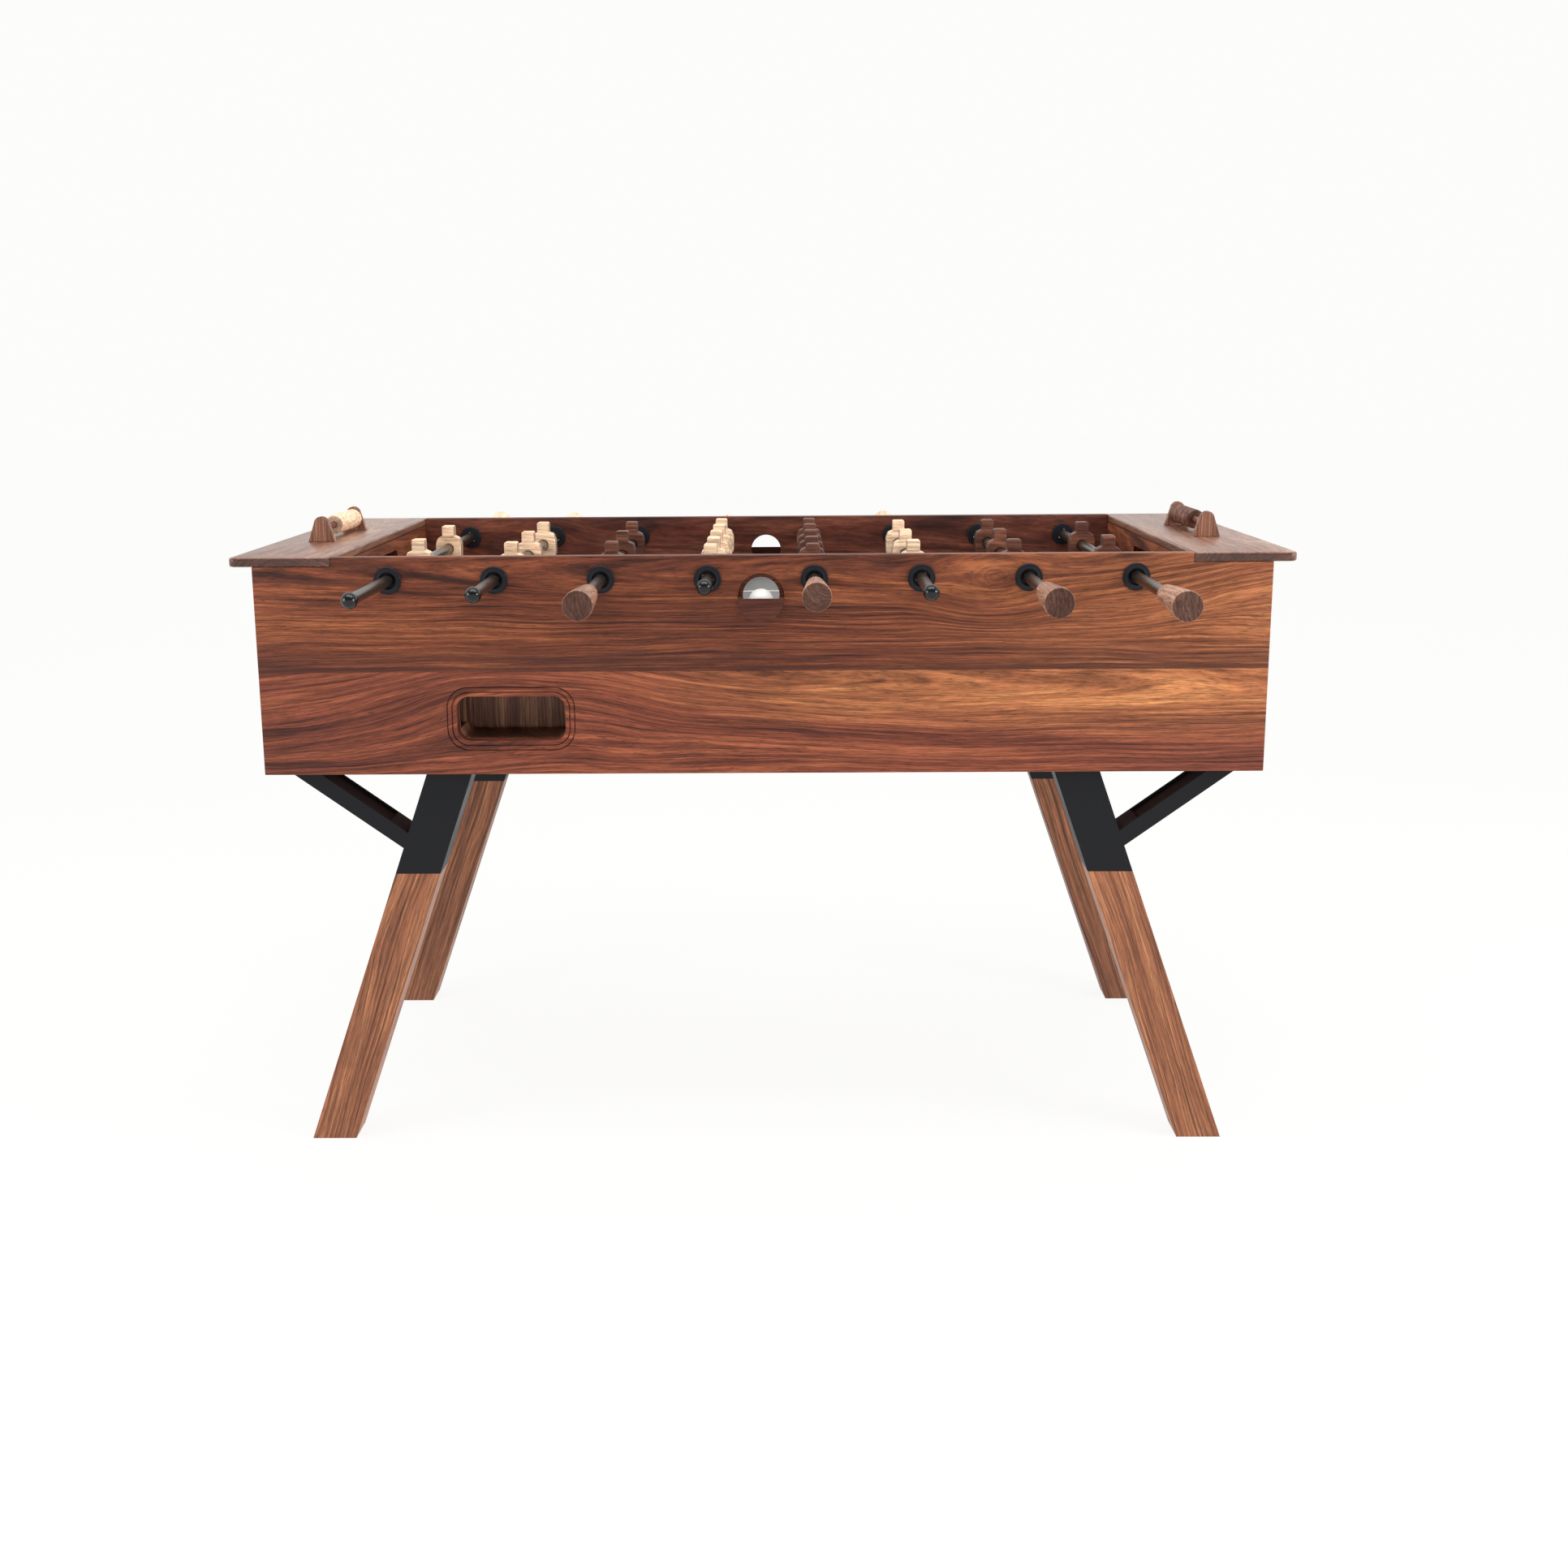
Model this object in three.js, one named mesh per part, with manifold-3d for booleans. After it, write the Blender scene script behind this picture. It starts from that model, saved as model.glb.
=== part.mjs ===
// Foosball table: a walnut cabinet on four raked legs held by black steel brackets, eight playing
// rods, ball cups on both long sides, a ball return pocket and a bead scorer on each end shelf.
// Millimetres, +Z up, X along the table, Y across it. The origin is on the floor under the centre.

import * as THREE from 'three';
import { mergeVertices } from 'three/addons/utils/BufferGeometryUtils.js';
import Module from 'manifold-3d';

const wasm = await Module();
wasm.setup();

// ---- Driving dimensions ----------------------------------------------------------------------

const GAP = 0.3; // clearance between pieces that touch
const CUT = 5; // how far a cutter runs past the face it cuts
const ROUND = 12; // sides of a small round part
const ROUND_LARGE = 20; // sides of the cups and the ball hole

const CABINET_HALF_LENGTH = 716;
const CABINET_HALF_WIDTH = 360;
const CABINET_BOTTOM = 568;
const RAIL_TOP = 880;
const PANEL = 22; // thickness of the long panels and the end panels
const BOTTOM_PANEL = 12;
const INNER_HALF_WIDTH = CABINET_HALF_WIDTH - PANEL;

const SHELF_TOP = RAIL_TOP;
const SHELF = 13;
const SHELF_END = 750;
const SHELF_CORNER = 12;

const FIELD_HALF_LENGTH = 605;
const FIELD_TOP = 775;
const FIELD = 12;
const FIELD_GROOVE = 6; // depth of the groove that holds the playfield's long edges

const GOAL_WALL = 15;
const GOAL_WALL_BOTTOM = 754;
const GOAL_HALF_WIDTH = 90;
const GOAL_HEIGHT = 74;

const LEG_FOOT_OUTER = 685; // outer edge of the foot from the table's centre
const LEG_WIDTH = 65.6; // measured level, along X
const LEG_RAKE = 0.3515; // how far the leg leans in for each unit of height
const LEG_TOP = 415; // where the wood ends and the steel sleeve begins
const LEG_FRONT = 340; // outer face of a leg from the table's centre line
const LEG_DEPTH = 60;
const SLEEVE_WALL = 4;
const TENON_TOP = 535;
const ARM_ROOT = 453.5; // height where the arm's lower edge leaves the sleeve
const ARM_SLOPE = 0.722;
const ARM_RISE = 28; // thickness of the arm measured straight up
const ARM_WEB_SETBACK = 3; // the arm's webs lie this far inside the edges of its plates

const ROD_COUNT = 8;
const ROD_PITCH = 150;
const ROD_HEIGHT = 847;
const ROD_RADIUS = 8;
const CAP_RADIUS = 11;
const HANDLE_LENGTH = 130;
const HANDLE_BORE_DEPTH = 110;
const HANDLE_END_RADIUS = 19.3;
const PLAYER_THICKNESS = 22;

// Spacing of the players, and how far the cap and the handle stand from the cabinet, by team size.
const LINE_UPS = {
  2: { spacing: 250, capReach: 240, handleStart: 204 },
  3: { spacing: 184, capReach: 187, handleStart: 165 },
  5: { spacing: 118, capReach: 112, handleStart: 90 },
};
const FRONT = -1;
const BACK = 1;
const RODS = [
  { players: 2, handleSide: BACK },
  { players: 3, handleSide: BACK },
  { players: 3, handleSide: FRONT },
  { players: 5, handleSide: BACK },
  { players: 5, handleSide: FRONT },
  { players: 3, handleSide: BACK },
  { players: 3, handleSide: FRONT },
  { players: 2, handleSide: FRONT },
];

const BEARING_BORE = 8.7;
const BEARING_TUBE = 13;
const BEARING_HOLE = 14;
const BEARING_OUTER_FLANGE = 19.5;
const BEARING_INNER_FLANGE = 18.3;
const BEARING_FLANGE = 3;

const BALL_HOLE_HEIGHT = 822;
const BALL_HOLE_RADIUS = 26;
const CUP_RADIUS = 32.5;
const CUP_SEAT_DEPTH = 16; // how far a cup is let into its panel
const CUP_REACH = 29; // how far a cup stands out of its panel
const CUP_RIM = 6;
const CUP_HOLLOW_DEPTH = 25;
const BALL_RADIUS = 18;
const BALL_OUT = 2; // the ball's centre lies this far outside the front face

const POCKET_X = -358;
const POCKET_HEIGHT = 649;
const POCKET_HALF_WIDTH = 77.5;
const POCKET_HALF_HEIGHT = 32;
const POCKET_CORNER = 17;
const POCKET_DEPTH = 78; // behind the panel
const POCKET_WALL = 8;

const TROUGH_WIDTH = 60;
const TROUGH_DEPTH = 35;
const TROUGH_WALL = 5;
const TROUGH_SLOPE = 0.06;
const TROUGH_ENTRY = 630; // height of a trough's floor where it meets the pocket
const TROUGH_REACH = 100; // how far a trough runs past the goal's middle
const TROUGH_Y = -(INNER_HALF_WIDTH - GAP - TROUGH_WIDTH / 2);

const SCORER_X = 677.5;
const SCORER_HALF_LENGTH = 112;
const SCORER_BRACKET = 12;
const SCORER_BASE_HALF_WIDTH = 20.5;
const SCORER_HEIGHT = 38.5;
const SCORER_TOP_RADIUS = 11;
const DOWEL_HEIGHT = 20;
const DOWEL_RADIUS = 5;
const BEAD_COUNT = 10;
const BEAD_LENGTH = 13;
const BEAD_RADIUS = 15;
const BEAD_GROOVE_RADIUS = 13.8;
const BEAD_BORE = 5.7;

// ---- Materials ---------------------------------------------------------------------------------

function finish(color, roughness, metalness = 0) {
  return new THREE.MeshStandardMaterial({ color, roughness, metalness });
}
const walnut = () => finish(0x7d4a37, 0.45);
const maple = () => finish(0xe8cba4, 0.5);
const blackSteel = () => finish(0x2c2c2e, 0.5, 0.6);
const rodSteel = () => finish(0x3a3634, 0.3, 0.9);
const blackPlastic = () => finish(0x151515, 0.4);
const greyLaminate = () => finish(0x8a8a88, 0.45);
const whitePlastic = () => finish(0xf4f2ec, 0.25);

// ---- Helpers -----------------------------------------------------------------------------------

const table = new THREE.Group();

function add(name, geometry, material, position = [0, 0, 0]) {
  const mesh = new THREE.Mesh(geometry, material);
  mesh.name = name;
  mesh.position.set(...position);
  table.add(mesh);
  return mesh;
}

function box(low, high) {
  const size = high.map((value, i) => value - low[i]);
  const middle = high.map((value, i) => (value + low[i]) / 2);
  return new THREE.BoxGeometry(...size).translate(...middle);
}

function outline(points) {
  return new THREE.Shape(points.map(([x, y]) => new THREE.Vector2(x, y)));
}

function arcPoints(x, y, radius, from, to, steps) {
  return Array.from({ length: steps + 1 }, (_, i) => {
    const angle = from + ((to - from) * i) / steps;
    return [x + radius * Math.cos(angle), y + radius * Math.sin(angle)];
  });
}

function ringPoints(x, y, radius, sides) {
  return arcPoints(x, y, radius, 0, 2 * Math.PI, sides).slice(0, sides);
}

function roundedRectPoints(x, y, halfWidth, halfHeight, radius, steps = 4) {
  const corners = [[1, 1], [-1, 1], [-1, -1], [1, -1]];
  return corners.flatMap(([sx, sy], i) => {
    const start = (i * Math.PI) / 2;
    const cx = x + sx * (halfWidth - radius);
    const cy = y + sy * (halfHeight - radius);
    return arcPoints(cx, cy, radius, start, start + Math.PI / 2, steps);
  });
}

// Extrudes an outline drawn in X and Z between two Y values.
function extrudeAcross(shape, yLow, yHigh) {
  const geometry = new THREE.ExtrudeGeometry(shape, { depth: yHigh - yLow, bevelEnabled: false });
  return geometry.rotateX(Math.PI / 2).translate(0, yHigh, 0);
}

// Extrudes an outline drawn in Y and Z between two X values.
function extrudeAlong(shape, xLow, xHigh) {
  const geometry = new THREE.ExtrudeGeometry(shape, { depth: xHigh - xLow, bevelEnabled: false });
  const turn = new THREE.Matrix4().makeBasis(
    new THREE.Vector3(0, 1, 0),
    new THREE.Vector3(0, 0, 1),
    new THREE.Vector3(1, 0, 0),
  );
  return geometry.applyMatrix4(turn).translate(xLow, 0, 0);
}

// Turns a profile of [radius, y] points about the Y axis. Its outer side runs towards +Y.
function turned(profile, sides = ROUND) {
  return new THREE.LatheGeometry(profile.map(([r, y]) => new THREE.Vector2(r, y)), sides);
}

function toSolid(geometry) {
  const bare = geometry.clone();
  bare.deleteAttribute('normal');
  bare.deleteAttribute('uv');
  const merged = mergeVertices(bare, 1e-4);
  const corners = merged.index.array;
  const kept = [];
  for (let i = 0; i < corners.length; i += 3) {
    const [a, b, c] = corners.slice(i, i + 3);
    if (a !== b && b !== c && c !== a) kept.push(a, b, c);
  }
  const mesh = new wasm.Mesh({
    numProp: 3,
    vertProperties: new Float32Array(merged.attributes.position.array),
    triVerts: new Uint32Array(kept),
  });
  return new wasm.Manifold(mesh);
}

function toGeometry(solid) {
  const mesh = solid.getMesh();
  const geometry = new THREE.BufferGeometry();
  geometry.setAttribute('position', new THREE.BufferAttribute(new Float32Array(mesh.vertProperties), 3));
  geometry.setIndex(new THREE.BufferAttribute(new Uint32Array(mesh.triVerts), 1));
  geometry.computeVertexNormals();
  return geometry;
}

function joined(...geometries) {
  return geometries.map(toSolid).reduce((a, b) => a.add(b));
}

function cutFrom(geometry, ...cutters) {
  return toGeometry(cutters.map(toSolid).reduce((solid, cutter) => solid.subtract(cutter), toSolid(geometry)));
}

function sideName(side) {
  return side < 0 ? 'left' : 'right';
}

function faceName(side) {
  return side === FRONT ? 'front' : 'back';
}

function rodX(index) {
  return (index - (ROD_COUNT - 1) / 2) * ROD_PITCH;
}

// ---- Cabinet -----------------------------------------------------------------------------------

// A long panel: bearing holes, the ball hole with its cup seat, and a groove for the playfield.
function longPanel(side) {
  const shoulder = RAIL_TOP - SHELF - GAP;
  const shape = outline([
    [-CABINET_HALF_LENGTH, CABINET_BOTTOM],
    [CABINET_HALF_LENGTH, CABINET_BOTTOM],
    [CABINET_HALF_LENGTH, shoulder],
    [FIELD_HALF_LENGTH, shoulder],
    [FIELD_HALF_LENGTH, RAIL_TOP],
    [-FIELD_HALF_LENGTH, RAIL_TOP],
    [-FIELD_HALF_LENGTH, shoulder],
    [-CABINET_HALF_LENGTH, shoulder],
  ]);
  for (let i = 0; i < ROD_COUNT; i += 1) {
    shape.holes.push(outline(ringPoints(rodX(i), ROD_HEIGHT, BEARING_HOLE, ROUND)));
  }
  shape.holes.push(outline(ringPoints(0, BALL_HOLE_HEIGHT, BALL_HOLE_RADIUS, ROUND_LARGE)));
  if (side === FRONT) {
    const opening = [POCKET_X, POCKET_HEIGHT, POCKET_HALF_WIDTH, POCKET_HALF_HEIGHT, POCKET_CORNER];
    shape.holes.push(outline(roundedRectPoints(...opening)));
  }
  const [inner, outer] = [side * INNER_HALF_WIDTH, side * CABINET_HALF_WIDTH];
  const body = extrudeAcross(shape, Math.min(inner, outer), Math.max(inner, outer));

  const seatFloor = outer - side * CUP_SEAT_DEPTH;
  const seatMouth = outer + side * CUT;
  const seat = extrudeAcross(
    outline(ringPoints(0, BALL_HOLE_HEIGHT, CUP_RADIUS + GAP, ROUND_LARGE)),
    Math.min(seatFloor, seatMouth),
    Math.max(seatFloor, seatMouth),
  );
  const grooveFloor = inner + side * FIELD_GROOVE;
  const grooveMouth = inner - side * CUT;
  const groove = box(
    [-FIELD_HALF_LENGTH, Math.min(grooveFloor, grooveMouth), FIELD_TOP - FIELD - GAP],
    [FIELD_HALF_LENGTH, Math.max(grooveFloor, grooveMouth), FIELD_TOP + GAP],
  );
  return cutFrom(body, seat, groove);
}

function endPanel(side) {
  const halfWidth = INNER_HALF_WIDTH - GAP;
  const faces = [side * (CABINET_HALF_LENGTH - PANEL), side * CABINET_HALF_LENGTH];
  const low = [Math.min(...faces), -halfWidth, CABINET_BOTTOM];
  const high = [Math.max(...faces), halfWidth, RAIL_TOP - SHELF - GAP];
  return box(low, high);
}

function endShelf(side) {
  const inner = FIELD_HALF_LENGTH + GAP;
  const cornerX = SHELF_END - SHELF_CORNER;
  const cornerY = CABINET_HALF_WIDTH - SHELF_CORNER;
  const points = [
    [inner, CABINET_HALF_WIDTH],
    [inner, -CABINET_HALF_WIDTH],
    ...arcPoints(cornerX, -cornerY, SHELF_CORNER, -Math.PI / 2, 0, 4),
    ...arcPoints(cornerX, cornerY, SHELF_CORNER, 0, Math.PI / 2, 4),
  ];
  const shape = outline(points.map(([x, y]) => [side * x, y]));
  const geometry = new THREE.ExtrudeGeometry(shape, { depth: SHELF, bevelEnabled: false });
  return geometry.translate(0, 0, SHELF_TOP - SHELF);
}

function goalWall(side) {
  const halfWidth = INNER_HALF_WIDTH - GAP;
  const top = RAIL_TOP - SHELF - GAP;
  const shape = outline([
    [-halfWidth, GOAL_WALL_BOTTOM],
    [halfWidth, GOAL_WALL_BOTTOM],
    [halfWidth, top],
    [-halfWidth, top],
  ]);
  const middle = FIELD_TOP + GOAL_HEIGHT / 2;
  shape.holes.push(outline(roundedRectPoints(0, middle, GOAL_HALF_WIDTH, GOAL_HEIGHT / 2, 12, 3)));
  const faces = [side * FIELD_HALF_LENGTH, side * (FIELD_HALF_LENGTH + GOAL_WALL)];
  return extrudeAlong(shape, Math.min(...faces), Math.max(...faces));
}

function playfield() {
  const halfWidth = INNER_HALF_WIDTH + FIELD_GROOVE - GAP;
  const halfLength = FIELD_HALF_LENGTH - GAP;
  return box([-halfLength, -halfWidth, FIELD_TOP - FIELD], [halfLength, halfWidth, FIELD_TOP]);
}

function bottomPanel() {
  const halfLength = CABINET_HALF_LENGTH - PANEL - GAP;
  const halfWidth = INNER_HALF_WIDTH - GAP;
  const top = CABINET_BOTTOM + BOTTOM_PANEL;
  return box([-halfLength, -halfWidth, CABINET_BOTTOM], [halfLength, halfWidth, top]);
}

for (const side of [FRONT, BACK]) {
  add(`${faceName(side)}_panel`, longPanel(side), walnut());
}
for (const side of [-1, 1]) {
  add(`${sideName(side)}_end_panel`, endPanel(side), walnut());
  add(`${sideName(side)}_end_shelf`, endShelf(side), walnut());
  add(`${sideName(side)}_goal_wall`, goalWall(side), walnut());
}
add('playfield', playfield(), greyLaminate());
add('bottom_panel', bottomPanel(), walnut());

// ---- Legs and their brackets -------------------------------------------------------------------

function legOuterX(height) {
  return LEG_FOOT_OUTER - LEG_RAKE * height;
}

// A slanted bar of the leg between two heights, set in from the leg's faces.
function legBar(sideX, sideY, bottom, top, inset) {
  const corners = [
    [legOuterX(bottom) - inset, bottom],
    [legOuterX(top) - inset, top],
    [legOuterX(top) - LEG_WIDTH + inset, top],
    [legOuterX(bottom) - LEG_WIDTH + inset, bottom],
  ];
  const shape = outline(corners.map(([x, z]) => [sideX * x, z]));
  const faces = [sideY * (LEG_FRONT - inset), sideY * (LEG_FRONT - LEG_DEPTH + inset)];
  return extrudeAcross(shape, Math.min(...faces), Math.max(...faces));
}

// A wooden leg with the tenon that fills the steel sleeve above it.
function leg(sideX, sideY) {
  const shoulder = LEG_TOP - GAP;
  const body = legBar(sideX, sideY, 0, shoulder, 0);
  const tenon = legBar(sideX, sideY, shoulder - CUT, TENON_TOP, SLEEVE_WALL + GAP);
  return toGeometry(joined(body, tenon));
}

// Height of the arm's lower edge at a given distance from the table's centre.
function armEdgeX(height, rise) {
  return legOuterX(ARM_ROOT) + (height - rise - ARM_ROOT) / ARM_SLOPE;
}

// The strip of space over one edge of the arm, between its two plates.
function webRecess(sideX, sideY, edgeRise, setback, reach) {
  const rootHeight = ARM_ROOT + 40;
  const topHeight = CABINET_BOTTOM + CUT;
  const corners = [
    [armEdgeX(rootHeight, edgeRise + setback), rootHeight],
    [armEdgeX(topHeight, edgeRise + setback), topHeight],
    [armEdgeX(topHeight, edgeRise + reach), topHeight],
    [armEdgeX(rootHeight, edgeRise + reach), rootHeight],
  ];
  const shape = outline(corners.map(([x, z]) => [sideX * x, z]));
  const faces = [LEG_FRONT - SLEEVE_WALL, LEG_FRONT - LEG_DEPTH + SLEEVE_WALL].map((y) => sideY * y);
  return extrudeAcross(shape, Math.min(...faces), Math.max(...faces));
}

// A steel bracket: a sleeve over the leg's tenon and an arm that spreads the load along the cabinet.
function legBracket(sideX, sideY) {
  const top = CABINET_BOTTOM - GAP;
  const crotchX = (ARM_SLOPE * legOuterX(ARM_ROOT) - ARM_RISE - ARM_ROOT + LEG_FOOT_OUTER / LEG_RAKE)
    / (ARM_SLOPE + 1 / LEG_RAKE);
  const crotch = [crotchX, (LEG_FOOT_OUTER - crotchX) / LEG_RAKE];
  const corners = [
    [legOuterX(LEG_TOP) - LEG_WIDTH, LEG_TOP],
    [legOuterX(LEG_TOP), LEG_TOP],
    [legOuterX(ARM_ROOT), ARM_ROOT],
    [armEdgeX(top, 0), top],
    [armEdgeX(top, ARM_RISE), top],
    crotch,
    [legOuterX(top), top],
    [legOuterX(top) - LEG_WIDTH, top],
  ];
  const shape = outline(corners.map(([x, z]) => [sideX * x, z]));
  const faces = [sideY * LEG_FRONT, sideY * (LEG_FRONT - LEG_DEPTH)];
  const body = extrudeAcross(shape, Math.min(...faces), Math.max(...faces));
  const hollow = legBar(sideX, sideY, LEG_TOP - CUT, TENON_TOP + GAP, SLEEVE_WALL);
  const upperRecess = webRecess(sideX, sideY, ARM_RISE, -ARM_WEB_SETBACK / ARM_SLOPE, CUT);
  const lowerRecess = webRecess(sideX, sideY, 0, ARM_WEB_SETBACK / ARM_SLOPE, -CUT);
  return cutFrom(body, hollow, upperRecess, lowerRecess);
}

for (const sideY of [FRONT, BACK]) {
  for (const sideX of [-1, 1]) {
    const corner = `${faceName(sideY)}_${sideName(sideX)}`;
    add(`${corner}_leg`, leg(sideX, sideY), walnut());
    add(`${corner}_leg_bracket`, legBracket(sideX, sideY), blackSteel());
  }
}

// ---- Rods, players, caps and handles -----------------------------------------------------------

// A flat player seen along the rod: head, shoulders, waist and foot, with the rod through the chest.
function playerShape() {
  const shape = new THREE.Shape();
  shape.moveTo(-12, -62);
  shape.lineTo(12, -62);
  shape.lineTo(10.2, -43);
  shape.quadraticCurveTo(11.5, -27, 20.5, -15);
  shape.lineTo(21, 6);
  shape.quadraticCurveTo(19.5, 15, 10.2, 21);
  shape.lineTo(10.2, 34.5);
  shape.lineTo(7, 38);
  shape.lineTo(-7, 38);
  shape.lineTo(-10.2, 34.5);
  shape.lineTo(-10.2, 21);
  shape.quadraticCurveTo(-19.5, 15, -21, 6);
  shape.lineTo(-20.5, -15);
  shape.quadraticCurveTo(-11.5, -27, -10.2, -43);
  shape.closePath();
  return shape;
}

function player(y) {
  const settings = { depth: PLAYER_THICKNESS, bevelEnabled: false, curveSegments: 3 };
  const geometry = new THREE.ExtrudeGeometry(playerShape(), settings);
  return geometry.rotateX(Math.PI / 2).translate(0, y + PLAYER_THICKNESS / 2, 0);
}

// A rod with its ball cap towards -Y, and its bare end, which goes into the handle, towards +Y.
function rodProfile(lineUp) {
  const capCentre = -(CABINET_HALF_WIDTH + lineUp.capReach - CAP_RADIUS);
  const capEdge = Math.asin(ROD_RADIUS / CAP_RADIUS);
  const cap = arcPoints(0, capCentre, CAP_RADIUS, -Math.PI / 2, Math.PI / 2 - capEdge, 5);
  const end = CABINET_HALF_WIDTH + lineUp.handleStart + HANDLE_BORE_DEPTH - GAP;
  return [...cap, [ROD_RADIUS, end], [0, end]];
}

function rodWithPlayers({ players, handleSide }) {
  const lineUp = LINE_UPS[players];
  const rod = turned(rodProfile(lineUp));
  if (handleSide === FRONT) rod.rotateZ(Math.PI);
  const line = Array.from({ length: players }, (_, i) => player((i - (players - 1) / 2) * lineUp.spacing));
  return toGeometry(joined(rod, ...line));
}

// A tapered handle, blind-bored for the rod, with its large end towards +Y.
function handle() {
  return turned([
    [0, HANDLE_BORE_DEPTH],
    [ROD_RADIUS + GAP, HANDLE_BORE_DEPTH],
    [ROD_RADIUS + GAP, 0],
    [11, 0],
    [13.2, 4],
    [HANDLE_END_RADIUS, HANDLE_LENGTH - 4],
    [HANDLE_END_RADIUS - 0.8, HANDLE_LENGTH - 1.2],
    [HANDLE_END_RADIUS - 2.6, HANDLE_LENGTH],
    [0, HANDLE_LENGTH],
  ], ROUND);
}

// A flanged bearing, its outer flange towards +Y, centred in the thickness of its panel.
function bearing() {
  const seat = PANEL / 2 + GAP;
  const face = seat + BEARING_FLANGE;
  return turned([
    [BEARING_BORE, -face],
    [BEARING_INNER_FLANGE, -face],
    [BEARING_INNER_FLANGE, -seat],
    [BEARING_TUBE, -seat],
    [BEARING_TUBE, seat],
    [BEARING_OUTER_FLANGE, seat],
    [BEARING_OUTER_FLANGE, face],
    [BEARING_BORE, face],
    [BEARING_BORE, -face],
  ]);
}

RODS.forEach((rod, i) => {
  const number = i + 1;
  const x = rodX(i);
  add(`rod_${number}`, rodWithPlayers(rod), rodSteel(), [x, 0, ROD_HEIGHT]);
  const handleY = rod.handleSide * (CABINET_HALF_WIDTH + LINE_UPS[rod.players].handleStart);
  const grip = add(`handle_${number}`, handle(), walnut(), [x, handleY, ROD_HEIGHT]);
  if (rod.handleSide === FRONT) grip.rotation.z = Math.PI;
  for (const side of [FRONT, BACK]) {
    const y = side * (CABINET_HALF_WIDTH - PANEL / 2);
    const ring = add(`${faceName(side)}_bearing_${number}`, bearing(), blackPlastic(), [x, y, ROD_HEIGHT]);
    if (side === FRONT) ring.rotation.z = Math.PI;
  }
});

// ---- Ball cups and ball ------------------------------------------------------------------------

// Lower half of an oval about the ball hole's axis, from its right side round to its left.
function lowerHalf(halfWidth, depth, rise) {
  const points = arcPoints(0, 0, 1, Math.PI, 2 * Math.PI, ROUND_LARGE / 2);
  const curve = points.map(([x, z]) => [x * halfWidth, BALL_HOLE_HEIGHT + z * depth]);
  const top = BALL_HOLE_HEIGHT + rise;
  return outline(rise > 0 ? [...curve, [halfWidth, top], [-halfWidth, top]] : curve);
}

// A half-round cup seen from behind: closed at its outer end and open into the ball hole.
function ballCup() {
  const back = CABINET_HALF_WIDTH - CUP_SEAT_DEPTH + GAP;
  const front = CABINET_HALF_WIDTH + CUP_REACH;
  const body = extrudeAcross(lowerHalf(CUP_RADIUS, CUP_RADIUS, 0), back, front);
  const halfWidth = CUP_RADIUS - CUP_RIM;
  const hollow = extrudeAcross(lowerHalf(halfWidth, CUP_HOLLOW_DEPTH, CUT), back - CUT, front - CUP_RIM);
  return cutFrom(body, hollow);
}

for (const side of [FRONT, BACK]) {
  const cup = add(`${faceName(side)}_ball_cup`, ballCup(), walnut());
  if (side === FRONT) cup.rotation.z = Math.PI;
}

const ballHeight = BALL_HOLE_HEIGHT - CUP_HOLLOW_DEPTH + GAP + BALL_RADIUS;
const ballPosition = [0, -(CABINET_HALF_WIDTH + BALL_OUT), ballHeight];
add('ball', turned(arcPoints(0, 0, BALL_RADIUS, -Math.PI / 2, Math.PI / 2, 8), 16), whitePlastic(), ballPosition);

// ---- Ball return -------------------------------------------------------------------------------

// A box behind the front panel's opening, with a way in at each end for balls from the troughs.
function returnPocket() {
  const back = -(INNER_HALF_WIDTH - POCKET_DEPTH);
  const outerX = POCKET_HALF_WIDTH + POCKET_WALL;
  const outerZ = POCKET_HALF_HEIGHT + POCKET_WALL;
  const body = box(
    [POCKET_X - outerX, -INNER_HALF_WIDTH + GAP, POCKET_HEIGHT - outerZ],
    [POCKET_X + outerX, back + POCKET_WALL, POCKET_HEIGHT + outerZ],
  );
  const cavityPoints = [POCKET_X, POCKET_HEIGHT, POCKET_HALF_WIDTH, POCKET_HALF_HEIGHT, POCKET_CORNER];
  const cavity = extrudeAcross(outline(roundedRectPoints(...cavityPoints)), -CABINET_HALF_WIDTH, back);
  const wayHalf = TROUGH_WIDTH / 2 - TROUGH_WALL;
  const ways = box(
    [POCKET_X - outerX - CUT, TROUGH_Y - wayHalf, TROUGH_ENTRY],
    [POCKET_X + outerX + CUT, TROUGH_Y + wayHalf, TROUGH_ENTRY + TROUGH_DEPTH + TROUGH_WALL],
  );
  return cutFrom(body, cavity, ways);
}

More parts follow.
